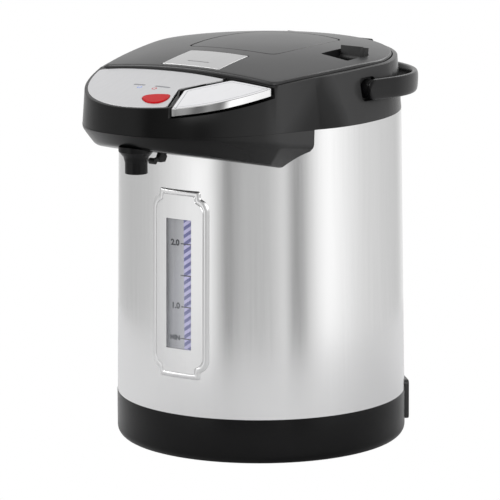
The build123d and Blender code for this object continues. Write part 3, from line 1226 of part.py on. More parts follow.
# ---- write every piece ------------------------------------------------------------------------------------
def pieces():
    collar = make_collar() - paddle_well()
    made = {
        "base_ring": make_base_ring(),
        "bottom_plate": make_bottom_plate(),
        "rubber_feet": make_rubber_feet(),
        "base_screws": make_base_screws(),
        "inlet_bezel": make_inlet_bezel(),
        "inlet_pins": make_inlet_pins(),
        "body_shell": make_body_shell(),
        "gauge_bezel": make_gauge_bezel(),
        "gauge_window": make_gauge_window(),
        "scale_strip": make_scale_strip(),
        "sight_tube": make_sight_tube(),
        "inner_tank": make_inner_tank(),
        "tank_seal": make_tank_seal(),
        "heater_plate": make_heater_plate(),
        "thermostats": make_thermostats(),
        "pump_housing": make_pump_housing(),
        "pump_impeller": make_pump_impeller(),
        "impeller_axle": make_impeller_axle(),
        "pump_motor": make_pump_motor(),
        "intake_hose": make_intake_hose(),
        "riser_hose": make_riser_hose(),
        "power_board": make_power_board(),
        "collar": collar,
        "neck_ring": make_neck_ring(),
        "nose_underside": make_nose_underside(),
        "spout_nozzle": make_spout_nozzle(),
        "spout_pipe": make_spout_pipe(),
        "cup_lever": make_cup_lever(),
        "cup_lever_pin": make_cup_lever_pin(),
        "control_panel": make_control_panel(),
        "panel_tray": make_panel_tray(),
        "boil_light": make_light(*LIGHT_PLACES[1]),
        "warm_light": make_light(*LIGHT_PLACES[0]),
        "reboil_button": make_reboil_button(),
        "control_board": make_control_board(),
        "dispense_paddle": make_dispense_paddle(),
        "paddle_pin": make_paddle_pin(),
        "paddle_cradle": make_paddle_cradle(),
        "paddle_switch": make_paddle_switch(),
        "paddle_spring": make_paddle_spring(),
        "lid_cover": make_lid_cover(),
        "lid_base": make_lid_base(),
        "lid_liner": make_lid_liner(),
        "lid_gasket": make_lid_gasket(),
        "air_pump_base": make_air_pump_base(),
        "bellows": make_bellows(),
        "bellows_spring": make_bellows_spring(),
        "press_plate": make_press_plate(),
        "steam_valve": make_steam_valve(),
        "latch_plate": make_latch_plate(),
        "latch_pin": make_latch_pin(),
        "latch_bolt": make_latch_bolt(),
        "lock_lever": make_lock_lever(),
        "lock_lever_pin": make_lock_lever_pin(),
        "lid_hinge_pin": make_lid_hinge_pin(),
        "carry_handle": make_carry_handle(),
        "handle_pivots": make_handle_pivots(),
    }
    return made


os.makedirs("parts", exist_ok=True)
for name, shape in pieces().items():
    export_step(shape, f"parts/{name}.step")
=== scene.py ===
"""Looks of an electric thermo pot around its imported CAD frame.

The script works in millimetres and hands metres to Blender. +Z is up and the spout faces -Y. A height function takes
x and y and gives z.
"""
import math

import bmesh
import bpy
import numpy as np
from mathutils import Matrix, Vector


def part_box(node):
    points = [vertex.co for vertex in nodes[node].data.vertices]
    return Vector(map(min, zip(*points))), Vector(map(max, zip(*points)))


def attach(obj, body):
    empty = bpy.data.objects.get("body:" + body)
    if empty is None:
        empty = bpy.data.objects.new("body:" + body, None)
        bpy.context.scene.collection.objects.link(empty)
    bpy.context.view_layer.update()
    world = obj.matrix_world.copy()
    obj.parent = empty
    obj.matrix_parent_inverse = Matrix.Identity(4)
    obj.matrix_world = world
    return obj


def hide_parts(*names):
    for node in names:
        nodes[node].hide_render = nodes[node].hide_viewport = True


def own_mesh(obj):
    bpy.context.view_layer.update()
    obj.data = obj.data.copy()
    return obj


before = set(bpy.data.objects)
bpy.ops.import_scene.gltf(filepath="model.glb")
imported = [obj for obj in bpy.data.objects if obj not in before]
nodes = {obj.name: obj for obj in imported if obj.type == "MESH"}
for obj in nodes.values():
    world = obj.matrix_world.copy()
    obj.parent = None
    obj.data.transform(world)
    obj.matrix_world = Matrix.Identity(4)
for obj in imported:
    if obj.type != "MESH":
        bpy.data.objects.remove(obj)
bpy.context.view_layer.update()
MM = 0.001


def in_scene(name, data):
    """New object in the scene."""
    thing = bpy.data.objects.new(name, data)
    bpy.context.scene.collection.objects.link(thing)
    return thing


# ---- camera ----
CAMERA_AZIMUTH, CAMERA_ELEVATION = 34.0, 11.6      # degrees: from the front towards +X, and up
CAMERA_DISTANCE, CAMERA_AIM_Z = 3.36, 0.130        # metres
CAMERA_LENS, CAMERA_SENSOR = 332.7, 36.0
CAMERA_ROLL = 0.21                                 # degrees that the picture leans to the left
CAMERA_SHIFT = (-0.0212, 0.016)


def place_camera():
    """Camera on a sphere round the aim point; its axes are worked out from azimuth, elevation and roll."""
    azimuth, elevation, roll = map(math.radians, (CAMERA_AZIMUTH, CAMERA_ELEVATION, CAMERA_ROLL))
    back = Vector((math.sin(azimuth) * math.cos(elevation), -math.cos(azimuth) * math.cos(elevation),
                   math.sin(elevation)))
    right = Vector((math.cos(azimuth), math.sin(azimuth), 0))
    up = back.cross(right)
    turned_right = right * math.cos(roll) - up * math.sin(roll)
    turned_up = right * math.sin(roll) + up * math.cos(roll)
    data = bpy.data.cameras.new("camera")
    data.lens, data.sensor_width = CAMERA_LENS, CAMERA_SENSOR
    data.shift_x, data.shift_y = CAMERA_SHIFT
    data.clip_start, data.clip_end = 0.1, 20.0
    camera = in_scene("camera", data)
    place = Vector((0, 0, CAMERA_AIM_Z)) + back * CAMERA_DISTANCE
    camera.matrix_world = Matrix.Translation(place) @ Matrix((turned_right, turned_up, back)).transposed().to_4x4()
    bpy.context.scene.camera = camera


place_camera()

# ---- the pot's forms, as the CAD has them (mm) ----
SLEEVE_TOP, RIM_Z = 241.5, 281.0
NOSE_C_Y, NOSE_A, NOSE_B, NOSE_FLARE = -44.2, 81.8, 126.3, 2.9     # ellipse of the nose's tip at the rim
JOIN_Y, FLANK_END_Y, FLANK_SLOPE = -90.0, -56.5, 0.25
CHEEK_Y, CHEEK_X, REAR_START = -4.0, 95.2, 13.0
COLLAR_R = 99.0
LID_CHEEK_X, LID_REAR_R, LID_INSET, LID_CORNER_R = 91.7, 95.0, 3.0, 4.0
CROWN = 1100.0
LID_Y = np.array([-100.0, -91.0, -70.0, -51.0, -30.0, 0.0, 30.0, 60.0, 85.0, 95.0, 108.0])
LID_Z = np.array([281.6, 283.0, 286.0, 288.3, 289.4, 290.0, 289.3, 287.0, 284.1, 282.7, 280.6])
LID_CROWN = np.array([1100.0, 1080.0, 930.0, 860.0, 900.0, 1020.0, 1100.0, 1100.0, 1100.0, 1100.0, 1100.0])
LID_FIT = np.polyfit(LID_Y, LID_Z, 6)
CROWN_FIT = np.polyfit(LID_Y, 1 / LID_CROWN, 6)
NOSE_TOP_SLOPE = 0.19
LID_FRONT_Y, LID_FRONT_BOW = -91.0, 1.5
NOTCH_HALF = 31.5       # half width of the gap that the hinge leaves in the collar's rear
UNDER_HEAD, OVER_HEAD = 230.0, 300.0            # levels that the cutting blocks reach to, past the head's forms
COUNTS = (150, 16, 36, 60, 30, 60)      # points of tip, flank and cheek, and of the rear in three parts


def lid_height(x, y):
    """Crowned top of the lid: a polynomial along the pot, less x squared times a second polynomial."""
    return np.polyval(LID_FIT, y) - x * x * np.polyval(CROWN_FIT, y)


def nose_height(x, y):
    """Top of the nose: a plane that falls forward, less x squared over the crown."""
    return RIM_Z + NOSE_TOP_SLOPE * (y - LID_FRONT_Y) - x * x / CROWN


def lowered(height, drop):
    """The same height function, this much lower."""
    return lambda x, y: height(x, y) - drop


def level(z):
    """Height function of a level plane."""
    return lambda x, y: np.full(np.shape(x), float(z))


def cubic(a, b, ta, tb, u):
    """Cubic from a to b with end directions ta and tb, at share u."""
    return ((2 * u ** 3 - 3 * u ** 2 + 1) * a + (u ** 3 - 2 * u ** 2 + u) * ta + (3 * u ** 2 - 2 * u ** 3) * b
            + (u ** 3 - u ** 2) * tb)


def bend(a, b, c, s):
    """Curve from a to c that touches the lines to b at both ends, at share s."""
    return (1 - s) ** 2 * a + 2 * s * (1 - s) * b + s ** 2 * c


def two_piece_curve(p0, p1, p2, t0, t2, count):
    """Smooth curve through three points with given end directions: two cubic pieces with equal curvature where
    they meet. It returns count points without the last one."""
    p0, p1, p2, t0, t2 = (np.array(v, float) for v in (p0, p1, p2, t0, t2))
    t0, t2 = t0 / np.linalg.norm(t0), t2 / np.linalg.norm(t2)
    d1, d2 = np.linalg.norm(p1 - p0), np.linalg.norm(p2 - p1)
    t1 = (3 * ((p1 - p0) / d1 * d2 + (p2 - p1) / d2 * d1) - t0 * d2 - t2 * d1) / (2 * (d1 + d2))
    s = np.linspace(0, d1 + d2, count, endpoint=False)[:, None]
    return np.where(s < d1, cubic(p0, p1, d1 * t0, d1 * t1, s / d1), cubic(p1, p2, d2 * t1, d2 * t2, (s - d1) / d2))


def side_and_rear(join, flank_end, cheek, rear_r):
    """Right flank, right cheek, round rear, left cheek and left flank as one run of points."""
    a = math.radians(REAR_START)
    start = np.array((rear_r * math.cos(a), rear_r * math.sin(a)))
    flank = np.linspace(join, flank_end, COUNTS[1], endpoint=False)
    side = two_piece_curve(flank_end, cheek, start, (FLANK_SLOPE, 1), (-math.sin(a), math.cos(a)), COUNTS[2])
    notch = math.acos(NOTCH_HALF / rear_r)
    angles = np.concatenate([np.linspace(a, notch, COUNTS[3], endpoint=False),
                             np.linspace(notch + 0.001, math.pi - notch - 0.001, COUNTS[4], endpoint=False),
                             np.linspace(math.pi - notch, math.pi - a, COUNTS[5], endpoint=False)])
    rear = rear_r * np.stack([np.cos(angles), np.sin(angles)], 1)
    flip = np.array((-1.0, 1.0))
    side_back = np.vstack([start, side[:0:-1]]) * flip
    flank_back = np.vstack([flank_end, flank[:0:-1]]) * flip
    return np.vstack([flank, side, rear, side_back, flank_back])


def nose_tip(lean, inset, count, endpoint):
    """Half width where the flanks join the nose's tip, and the tip as an arc of an ellipse from left to right; lean
    is 0 at the sleeve and 1 at the rim."""
    a, b = (half + NOSE_FLARE * (1 - lean) - inset for half in (NOSE_A, NOSE_B))
    join_x = a * math.sqrt(1 - ((JOIN_Y - NOSE_C_Y) / b) ** 2)
    start = math.atan2((JOIN_Y - NOSE_C_Y) / b, join_x / a)
    angles = np.linspace(math.pi - start, 2 * math.pi + start, count, endpoint=endpoint)
    return join_x, np.column_stack([a * np.cos(angles), NOSE_C_Y + b * np.sin(angles)])


def rim_outline():
    """Collar outline at the rim: ellipse tip, flanks, cheeks and round rear."""
    join_x, tip = nose_tip(1.0, 0.0, COUNTS[0], endpoint=False)
    flank_x = join_x + FLANK_SLOPE * (FLANK_END_Y - JOIN_Y)
    return np.vstack([tip, side_and_rear((join_x, JOIN_Y), (flank_x, FLANK_END_Y), (CHEEK_X, CHEEK_Y), COLLAR_R)])


RIM = rim_outline()


def outward(path):
    """Unit normals of a closed counter-clockwise outline, from central differences."""
    along = np.roll(path, -1, 0) - np.roll(path, 1, 0)
    normal = np.stack([along[:, 1], -along[:, 0]], 1)
    return normal / np.linalg.norm(normal, axis=1, keepdims=True)


def offset(path, distance):
    """Closed outline moved inwards."""
    return path - outward(path) * distance


def pulled(path, distance):
    """Closed outline moved towards the pot's axis."""
    return path - path / np.linalg.norm(path, axis=1, keepdims=True) * distance


def rounded_outline(path, corners, radius, steps=8):
    """Closed outline whose named corners are replaced by arcs: the points nearer than the radius go, and a curve
    that touches both sides takes their place."""
    distance = np.stack([np.linalg.norm(path - path[c], axis=1) for c in corners])
    keep = distance.min(0) > radius * 0.999
    out, count = [], len(path)
    for i in np.flatnonzero(keep):
        out.append(path[i])
        if keep[(i + 1) % count]:
            continue
        gap = next(k for k in range(1, count) if keep[(i + k) % count])
        corner = next(c for c in corners if any((i + k) % count == c for k in range(1, gap)))
        out.extend(bend(path[i], path[corner], path[(i + gap) % count], np.linspace(0, 1, steps)[1:-1, None]))
    return np.array(out)


def lid_outline():
    """Lid outline: bowed front with round corners, straight flanks, cheeks and round rear."""
    line_x = RIM[COUNTS[0], 0] - LID_INSET
    corner = np.array((line_x + FLANK_SLOPE * (LID_FRONT_Y - JOIN_Y), LID_FRONT_Y))
    flank_end = (line_x + FLANK_SLOPE * (FLANK_END_Y - JOIN_Y), FLANK_END_Y)
    rest = side_and_rear(corner, flank_end, (LID_CHEEK_X, CHEEK_Y), LID_REAR_R)
    x = np.linspace(-corner[0], corner[0], 60, endpoint=False)
    front = np.stack([x, LID_FRONT_Y - LID_FRONT_BOW * (1 - (x / corner[0]) ** 2)], 1)
    return rounded_outline(np.vstack([front, rest]), [0, 60], LID_CORNER_R)


def polyline(points, step=1.0):
    """Closed outline along straight sides, with points added along each side, and the places of its corners."""
    points = np.array(points, float)
    out, places = [], []
    for a, b in zip(points, np.roll(points, -1, 0)):
        places.append(sum(len(part) for part in out))
        out.append(np.linspace(a, b, max(2, int(np.linalg.norm(b - a) / step)), endpoint=False))
    return np.vstack(out), places


def box_outline(x0, x1, y0, y1, radius=0.0):
    """Oblong, with round corners where a radius is given."""
    path, corners = polyline([(x0, y0), (x1, y0), (x1, y1), (x0, y1)], 1.2)
    return rounded_outline(path, corners, radius) if radius else path


def closed_curve(points, count):
    """Smooth closed curve through the points: between two of them a cubic whose end directions are half the chord
    of the neighbours."""
    p = np.array(points, float)
    n = len(p)
    s = np.linspace(0, n, count, endpoint=False)
    i = s.astype(int)
    a, b = p[i % n], p[(i + 1) % n]
    return cubic(a, b, (b - p[(i - 1) % n]) / 2, (p[(i + 2) % n] - a) / 2, (s - i)[:, None])


def circle(x, y, r, count=40):
    """Circle as an outline."""
    angles = np.linspace(0, 2 * math.pi, count, endpoint=False)
    return np.column_stack([x + r * np.cos(angles), y + r * np.sin(angles)])


# ---- mesh makers ----
SMOOTH_ANGLE = math.radians(35.0)


def soft_profile(corners, radii, steps=5):
    """Carries a profile with rounded corners along a path. Each corner is an array with one point for each place
    on the path. At a corner with a radius the two sides are left at that distance and joined by a curve whose
    middle control point is the corner itself; a radius is one number or a column with one for each place. It
    returns points as [place, profile, xyz]."""
    def towards(corner, other, radius):
        way = other - corner
        length = np.linalg.norm(way, axis=1, keepdims=True)
        return corner + way / np.maximum(length, 1e-6) * np.minimum(radius, 0.49 * length)
    rows = []
    for i, (corner, radius) in enumerate(zip(corners, radii)):
        if i in (0, len(corners) - 1) or not np.any(radius):
            rows.append(corner)
            continue
        a, b = towards(corner, corners[i - 1], radius), towards(corner, corners[i + 1], radius)
        rows.extend(bend(a, corner, b, s) for s in np.linspace(0, 1, steps + 1))
    return np.stack(rows, 1)


def shade_smooth(piece):
    """Smooth shading that breaks at sharp edges."""
    piece.data.shade_smooth()
    piece.data.set_sharp_from_angle(angle=SMOOTH_ANGLE)


def edit(mesh, change):
    """Puts a mesh through one change in its edit form."""
    bm = bmesh.new()
    bm.from_mesh(mesh)
    change(bm)
    bm.to_mesh(mesh)
    bm.free()


def clean(bm):
    """Merges doubles and points the faces outwards."""
    bmesh.ops.remove_doubles(bm, verts=bm.verts, dist=2e-6)
    bmesh.ops.dissolve_degenerate(bm, edges=bm.edges, dist=1e-6)
    bmesh.ops.recalc_face_normals(bm, faces=bm.faces)


def clean_piece(name, mesh):
    """Object with a cleaned mesh and smooth shading."""
    edit(mesh, clean)
    piece = in_scene(name, mesh)
    shade_smooth(piece)
    return piece


def skin(name, grid, closed_path=True, closed_profile=False, drop=None, caps=False):
    """Mesh of four-sided faces over a grid of points in mm; drop is a mask of faces to leave out."""
    nu, nv = grid.shape[:2]
    u = np.arange(nu if closed_path else nu - 1)
    v = np.arange(nv if closed_profile else nv - 1)
    uu, vv = np.meshgrid(u, v, indexing="ij")
    u1, v1 = (uu + 1) % nu, (vv + 1) % nv
    faces = np.stack([uu * nv + vv, u1 * nv + vv, u1 * nv + v1, uu * nv + v1], -1)
    faces = faces[~drop] if drop is not None else faces.reshape(-1, 4)
    faces = [tuple(f) for f in faces.tolist()]
    if caps:
        faces.append(tuple(range(0, nv)))
        faces.append(tuple(range((nu - 1) * nv, nu * nv)))
    mesh = bpy.data.meshes.new(name)
    mesh.from_pydata((grid.reshape(-1, 3) * MM).tolist(), [], faces)
    return clean_piece(name, mesh)


def at_height(xy, height):
    """Points of an outline on a height function."""
    return np.column_stack([xy, height(xy[:, 0], xy[:, 1])])


def to_middle(ring, height, centre, rows):
    """Rows that lead from a ring to its middle over a height function: each row is the ring shrunk about the
    centre, its height read from the function."""
    centre = np.asarray(centre, float)
    return [at_height(centre + (ring[:, :2] - centre) * s, height) for s in np.linspace(1, 0, rows + 1)[1:]]


def plate(name, outline, top, bottom, edge_r, centre, rows, low_r=0.0):
    """Closed plate over an outline: side, rounded upper edge, and a top that follows a height function."""
    inner = offset(outline, max(edge_r * 1.6, 0.5))
    corners = [at_height(inner, bottom), at_height(outline, bottom), at_height(outline, top), at_height(inner, top)]
    under = to_middle(inner, bottom, centre, 4)[::-1]
    over = to_middle(inner, top, centre, rows)
    return skin(name, np.concatenate([np.stack(under, 1), soft_profile(corners, [0, low_r, edge_r, 0]),
                                      np.stack(over, 1)], 1))


def nose_plate(name, outline, proud, depth, edge_r, centre, rows, low_r=0.0):
    """Plate on the nose: its top stands proud of the nose, and its under-face lies at a depth below it."""
    return plate(name, outline, lowered(nose_height, -proud), lowered(nose_height, depth), edge_r, centre, rows, low_r)


def prism(name, outline, low, high, centre):
    """Sharp block over an outline between two height functions, used for cutting."""
    return plate(name, outline, high, low, 0.0, centre, 3)


def through(name, outline, centre):
    """Sharp upright block over an outline, used to cut an opening through the head."""
    return prism(name, outline, level(UNDER_HEAD), level(OVER_HEAD), centre)


def strip(name, outline, inset, width, height):
    """Flat band that follows an outline at an inset, on a height function."""
    return skin(name, np.stack([at_height(offset(outline, q), height) for q in (inset, inset + width)], 1))


def rod(name, r, p0, p1, edge=0.4, turns=48):
    """Round rod between two points with rounded ends."""
    p0, p1 = np.array(p0, float), np.array(p1, float)
    axis = p1 - p0
    length = np.linalg.norm(axis)
    axis = axis / length
    side = np.cross(axis, (0.0, 0.0, 1.0) if abs(axis[2]) < 0.9 else (1.0, 0.0, 0.0))
    side /= np.linalg.norm(side)
    other = np.cross(axis, side)
    line = soft_profile([np.array([[q, h]]) for q, h in ((0, 0), (r, 0), (r, length), (0, length))],
                        [0, edge, edge, 0], 4)[0]
    angles = np.linspace(0, 2 * math.pi, turns, endpoint=False)
    ring = np.cos(angles)[:, None] * side + np.sin(angles)[:, None] * other
    return skin(name, p0 + ring[:, None, :] * line[None, :, :1] + axis * line[None, :, 1:])


def block(name, low, high):
    """Box between two corners, used for cutting."""
    low, high = np.array(low, float), np.array(high, float)
    pick = np.array([[0, 0, 0], [1, 0, 0], [1, 1, 0], [0, 1, 0], [0, 0, 1], [1, 0, 1], [1, 1, 1], [0, 1, 1]])
    faces = [(0, 3, 2, 1), (4, 5, 6, 7), (0, 1, 5, 4), (1, 2, 6, 5), (2, 3, 7, 6), (3, 0, 4, 7)]
    mesh = bpy.data.meshes.new(name)
    mesh.from_pydata(((low + (high - low) * pick) * MM).tolist(), [], faces)
    return in_scene(name, mesh)


def apply_modifiers(piece):
    """Makes a piece's modified mesh its own."""
    mesh = bpy.data.meshes.new_from_object(piece.evaluated_get(bpy.context.evaluated_depsgraph_get()))
    piece.modifiers.clear()
    old = piece.data
    piece.data = mesh
    bpy.data.meshes.remove(old)


def cut(piece, tools):
    """Takes the tools out of a piece and deletes them."""
    for tool in tools:
        modifier = piece.modifiers.new("cut", "BOOLEAN")
        modifier.operation, modifier.object, modifier.solver = "DIFFERENCE", tool, "EXACT"
        apply_modifiers(piece)
        bpy.data.objects.remove(tool)
    shade_smooth(piece)
    return piece


def own_copy(node, name):
    """Copy of a CAD node with a mesh of its own and doubles merged."""
    piece = nodes[node].copy()
    piece.data = nodes[node].data.copy()
    piece.name = name
    for key in list(piece.keys()):
        del piece[key]
    piece.parent = None
    bpy.context.scene.collection.objects.link(piece)
    edit(piece.data, lambda bm: bmesh.ops.remove_doubles(bm, verts=bm.verts, dist=1e-6))
    return piece


def softened(node, width):
    """Copy of a CAD node with its sharp edges rounded off."""
    piece = own_copy(node, node + "_soft")
    flat = math.radians(0.5)
    edit(piece.data, lambda bm: bmesh.ops.dissolve_limit(bm, angle_limit=flat, verts=bm.verts, edges=bm.edges))
    modifier = piece.modifiers.new("edges", "BEVEL")
    modifier.width, modifier.segments = width * MM, 3
    modifier.limit_method, modifier.angle_limit = "ANGLE", math.radians(32.0)
    modifier.use_clamp_overlap = True
    modifier.harden_normals = False
    apply_modifiers(piece)
    shade_smooth(piece)
    return piece


# ---- materials ----
def fill(tree, node, inputs):
    """Gives each input of a node its value, or links it to another node's output."""
    for key, value in inputs.items():
        if isinstance(value, bpy.types.NodeSocket):
            tree.links.new(value, node.inputs[key])
        else:
            node.inputs[key].default_value = value


def add_node(tree, kind, inputs, operation=None, data_type=None, node_tree=None):
    """New shader node: its settings come first, because they decide which inputs it has."""
    node = tree.nodes.new("ShaderNode" + kind)
    if operation:
        node.operation = operation
    if data_type:
        node.data_type = data_type
    if node_tree:
        node.node_tree = node_tree
    fill(tree, node, inputs)
    return node


def compute(tree, operation, *values):
    """Output of one step of arithmetic over numbers and outputs."""
    return add_node(tree, "Math", dict(enumerate(values)), operation=operation).outputs[0]


def split_place(tree, kind):
    """Outputs X, Y and Z of one kind of coordinates."""
    place = add_node(tree, "TexCoord", {})
    return add_node(tree, "SeparateXYZ", {0: place.outputs[kind]}).outputs


def ramp(tree, share, stops, blue=1.0):
    """Tone that runs through (position, grey) stops; blue is the factor on its blue."""
    node = add_node(tree, "ValToRGB", {"Fac": share})
    elements = node.color_ramp.elements
    while len(elements) < len(stops):
        elements.new(0.5)
    for element, (position, value) in zip(elements, stops):
        element.position, element.color = position, (value, value, value * blue, 1)
    return node.outputs["Color"]


def compass_tone(tree, direction, tones):
    """Tone from a table over the compass: the angle whose tangent is x over minus y, in degrees from the front."""
    angle = compute(tree, "ARCTAN2", direction["X"], compute(tree, "MULTIPLY", direction["Y"], -1.0))
    share = compute(tree, "MULTIPLY_ADD", angle, 0.5 / math.pi, 0.5)
    return ramp(tree, share, [((degrees + 180) / 360, value) for degrees, value in tones])


def new_group(name, inputs, outputs):
    """Empty node group: the group, the outputs of its source and its sink."""
    group = bpy.data.node_groups.new(name, "ShaderNodeTree")
    for label, kind, default in inputs:
        socket = group.interface.new_socket(label, in_out="INPUT", socket_type="NodeSocket" + kind)
        if default is not None:
            socket.default_value = default
    for label, kind in outputs:
        group.interface.new_socket(label, in_out="OUTPUT", socket_type="NodeSocket" + kind)
    return group, group.nodes.new("NodeGroupInput").outputs, group.nodes.new("NodeGroupOutput")


def moulded_group():
    """Moulded plastic: slow waves and fine grain as a height, and a roughness that wanders with the waves."""
    group, source, sink = new_group(
        "moulded plastic", [("Grain", "Float", 0.3), ("Roughness", "Float", 0.3), ("Wander", "Float", 0.04)],
        [("Roughness", "Float"), ("Height", "Float")])
    place = add_node(group, "TexCoord", {}).outputs["Object"]
    wave = add_node(group, "TexNoise", {"Vector": place, "Scale": 22.0, "Detail": 3.0}).outputs["Fac"]
    grain = add_node(group, "TexNoise", {"Vector": place, "Scale": 2400.0, "Detail": 2.0}).outputs["Fac"]
    centred = compute(group, "SUBTRACT", wave, 0.5)
    rough = compute(group, "MULTIPLY_ADD", centred, source["Wander"], source["Roughness"])
    height = compute(group, "MULTIPLY_ADD", grain, source["Grain"], compute(group, "MULTIPLY", wave, 0.25))
    fill(group, sink, {"Roughness": rough, "Height": height})
    return group


def brushed_group():
    """Brushed metal: noise stretched hard along one axis, as a height and as a light change of colour."""
    group, source, sink = new_group(
        "brushed metal", [("Stretch", "Vector", None), ("Color", "Color", (0.7, 0.7, 0.7, 1)),
                          ("Depth", "Float", 0.06), ("Roughness", "Float", 0.2)],
        [("Color", "Color"), ("Roughness", "Float"), ("Height", "Float")])
    place = add_node(group, "TexCoord", {}).outputs["Object"]
    scaled = add_node(group, "VectorMath", {0: place, 1: source["Stretch"]}, operation="MULTIPLY").outputs[0]
    streak = add_node(group, "TexNoise", {"Vector": scaled, "Scale": 1.0, "Detail": 5.0}).outputs["Fac"]
    darkest = compute(group, "SUBTRACT", 1.0, source["Depth"])
    spread = add_node(group, "MapRange", {"Value": streak, "From Min": 0.3, "From Max": 0.7, "To Min": darkest,
                                          "To Max": 1.0}).outputs[0]
    tint = add_node(group, "VectorMath", {0: source["Color"], "Scale": spread}, operation="SCALE").outputs[0]
    rough = compute(group, "MULTIPLY_ADD", streak, 0.08, source["Roughness"])
    fill(group, sink, {"Color": tint, "Roughness": rough, "Height": streak})
    return group


MOULDED, BRUSHED = moulded_group(), brushed_group()


def principled(name, constants):
    """New material, its tree and its shader with the constants set."""
    material = bpy.data.materials.new(name)
    material.use_nodes = True
    shader = material.node_tree.nodes["Principled BSDF"]
    fill(material.node_tree, shader, constants)
    return material, material.node_tree, shader


def relief(tree, height, strength, distance):
    """Normal of a bump over a height; the distance is in metres."""
    return add_node(tree, "Bump", {"Strength": strength, "Distance": distance, "Height": height}).outputs["Normal"]


def plastic(name, color, rough, grain=0.3, bump=0.02, specular=0.5):
    """Moulded plastic or rubber of one colour."""
    material, tree, shader = principled(name, {"Base Color": (*color, 1), "Specular IOR Level": specular})
    moulded = add_node(tree, "Group", {"Grain": grain, "Roughness": rough, "Wander": 0.05}, node_tree=MOULDED).outputs
    fill(tree, shader, {"Roughness": moulded["Roughness"], "Normal": relief(tree, moulded["Height"], bump, 0.001)})
    return material


def metal(name, color, rough, stretch, depth=0.06, bump=0.015, metallic=1.0):
    """Brushed or turned metal; stretch gives the streaks' frequency along each axis."""
    material, tree, shader = principled(name, {"Metallic": metallic})
    brushed = add_node(tree, "Group", {"Stretch": stretch, "Color": (*color, 1), "Depth": depth, "Roughness": rough},
                       node_tree=BRUSHED).outputs
    fill(tree, shader, {"Base Color": brushed["Color"], "Roughness": brushed["Roughness"],
                        "Normal": relief(tree, brushed["Height"], bump, 0.0005)})
    return material


def clear(name, color, rough, alpha):
    """Clear plastic: mostly see-through, with its own gloss."""
    material, tree, shader = principled(name, {"Base Color": (*color, 1), "Alpha": alpha})
    gloss = add_node(tree, "Group", {"Roughness": rough, "Wander": 0.02}, node_tree=MOULDED).outputs["Roughness"]
    fill(tree, shader, {"Roughness": gloss})
    return material


def painted_light_by_facing(material, tones):
    """Painted light: base colour from a table over the compass direction that the upright parts of a surface face."""
    tree = material.node_tree
    tone = compass_tone(tree, split_place(tree, "Normal"), tones)
    fill(tree, tree.nodes["Principled BSDF"], {"Base Color": tone})
    return material


def striped(name, light, dark, pitch, slope):
    """Print of slanting stripes: the height less the slope times x, cut into equal steps, half light, half dark."""
    material, tree, shader = principled(name, {"Roughness": 0.35})
    place = split_place(tree, "Object")
    slant = compute(tree, "MULTIPLY_ADD", place["X"], -slope, place["Z"])
    upper = compute(tree, "GREATER_THAN", compute(tree, "FLOORED_MODULO", slant, pitch * MM), pitch / 2 * MM)
    mix = add_node(tree, "Mix", {"Factor": upper, "A": (*light, 1), "B": (*dark, 1)}, data_type="RGBA")
    fill(tree, shader, {"Base Color": mix.outputs["Result"]})
    return material


def faded(name, stops, x0, x1):
    """Grey print whose tone runs across X through the stops."""
    material, tree, shader = principled(name, {"Roughness": 0.4})
    across = add_node(tree, "MapRange", {"Value": split_place(tree, "Object")["X"], "From Min": x0 * MM,
                                         "From Max": x1 * MM}).outputs["Result"]
    fill(tree, shader, {"Base Color": ramp(tree, across, stops, blue=1.03)})
    return material


HEAD_BLACK, SILVER = (0.003, 0.003, 0.0032), (0.86, 0.86, 0.87)
ALONG_X = (500, 20, 500)        # streaks that run along X
ALL_WAYS = (900, 900, 900)
# Painted light on the head's black plastic: lighter where its sides face 62 to 130 degrees to the right, standing in
# for studio reflections and lamp light there.
HEAD_PAINTED_LIGHT = [(-180, .008), (-120, .010), (-70, .006), (-45, .006), (-15, .009), (8, .003), (26, .001), (46, .002),
              (62, .010), (70, .020), (76, .056), (100, .040), (130, .02), (180, .008)]
# Painted shade on the paddle's silver edge: darker the more its sides face the front and right, darkest at 57 to 60
# degrees, standing in for dark studio reflections.
PADDLE_PAINTED_SHADE = [(-180, .86), (38, .38), (53, .38), (57, .20), (60, .16), (63, .86), (180, .86)]
SCALE_TONES = [(0.0, 0.16), (0.1, 0.24), (0.35, 0.36), (0.45, 0.33), (0.7, 0.42), (1.0, 0.5)]
WINDOW_HALF, SCALE_SPLIT = 10.8, 3.4        # half width of the gauge's window; where grey meets stripes (mm)

black_gloss = plastic("black gloss plastic", HEAD_BLACK, 0.26, grain=0.15, bump=0.03, specular=0.18)
# its base colour is painted light and shade, by the way each side faces
black_head_painted_light = painted_light_by_facing(plastic("black gloss head with painted light", HEAD_BLACK, 0.26, grain=0.15, bump=0.03, specular=0.18), HEAD_PAINTED_LIGHT)
black_satin = plastic("black satin plastic", (0.012, 0.012, 0.0125), 0.34, grain=0.4, bump=0.05, specular=0.6)
black_matte = plastic("black matte plastic", (0.012, 0.012, 0.012), 0.55, grain=0.6, bump=0.08, specular=0.4)
rubber = plastic("black rubber", (0.02, 0.02, 0.02), 0.75, grain=1.0, bump=0.15, specular=0.3)
silicone = plastic("clear silicone", (0.72, 0.72, 0.68), 0.4, grain=0.4, bump=0.04)
white_plastic = plastic("white plastic", (0.72, 0.72, 0.69), 0.4)
green_board = plastic("circuit board", (0.02, 0.16, 0.06), 0.35)
red_plastic = plastic("red button plastic", (0.55, 0.004, 0.008), 0.3, grain=0.15, specular=0.08)
red_lens = plastic("red lens", (0.55, 0.03, 0.03), 0.2)
blue_lens = plastic("blue lens", (0.25, 0.36, 0.8), 0.2)
scale_backing = plastic("scale backing", (0.5, 0.5, 0.52), 0.4)
ink_black = plastic("black print", (0.008, 0.008, 0.009), 0.5, specular=0.3)
ink_grey = plastic("grey print", (0.25, 0.25, 0.27), 0.45)
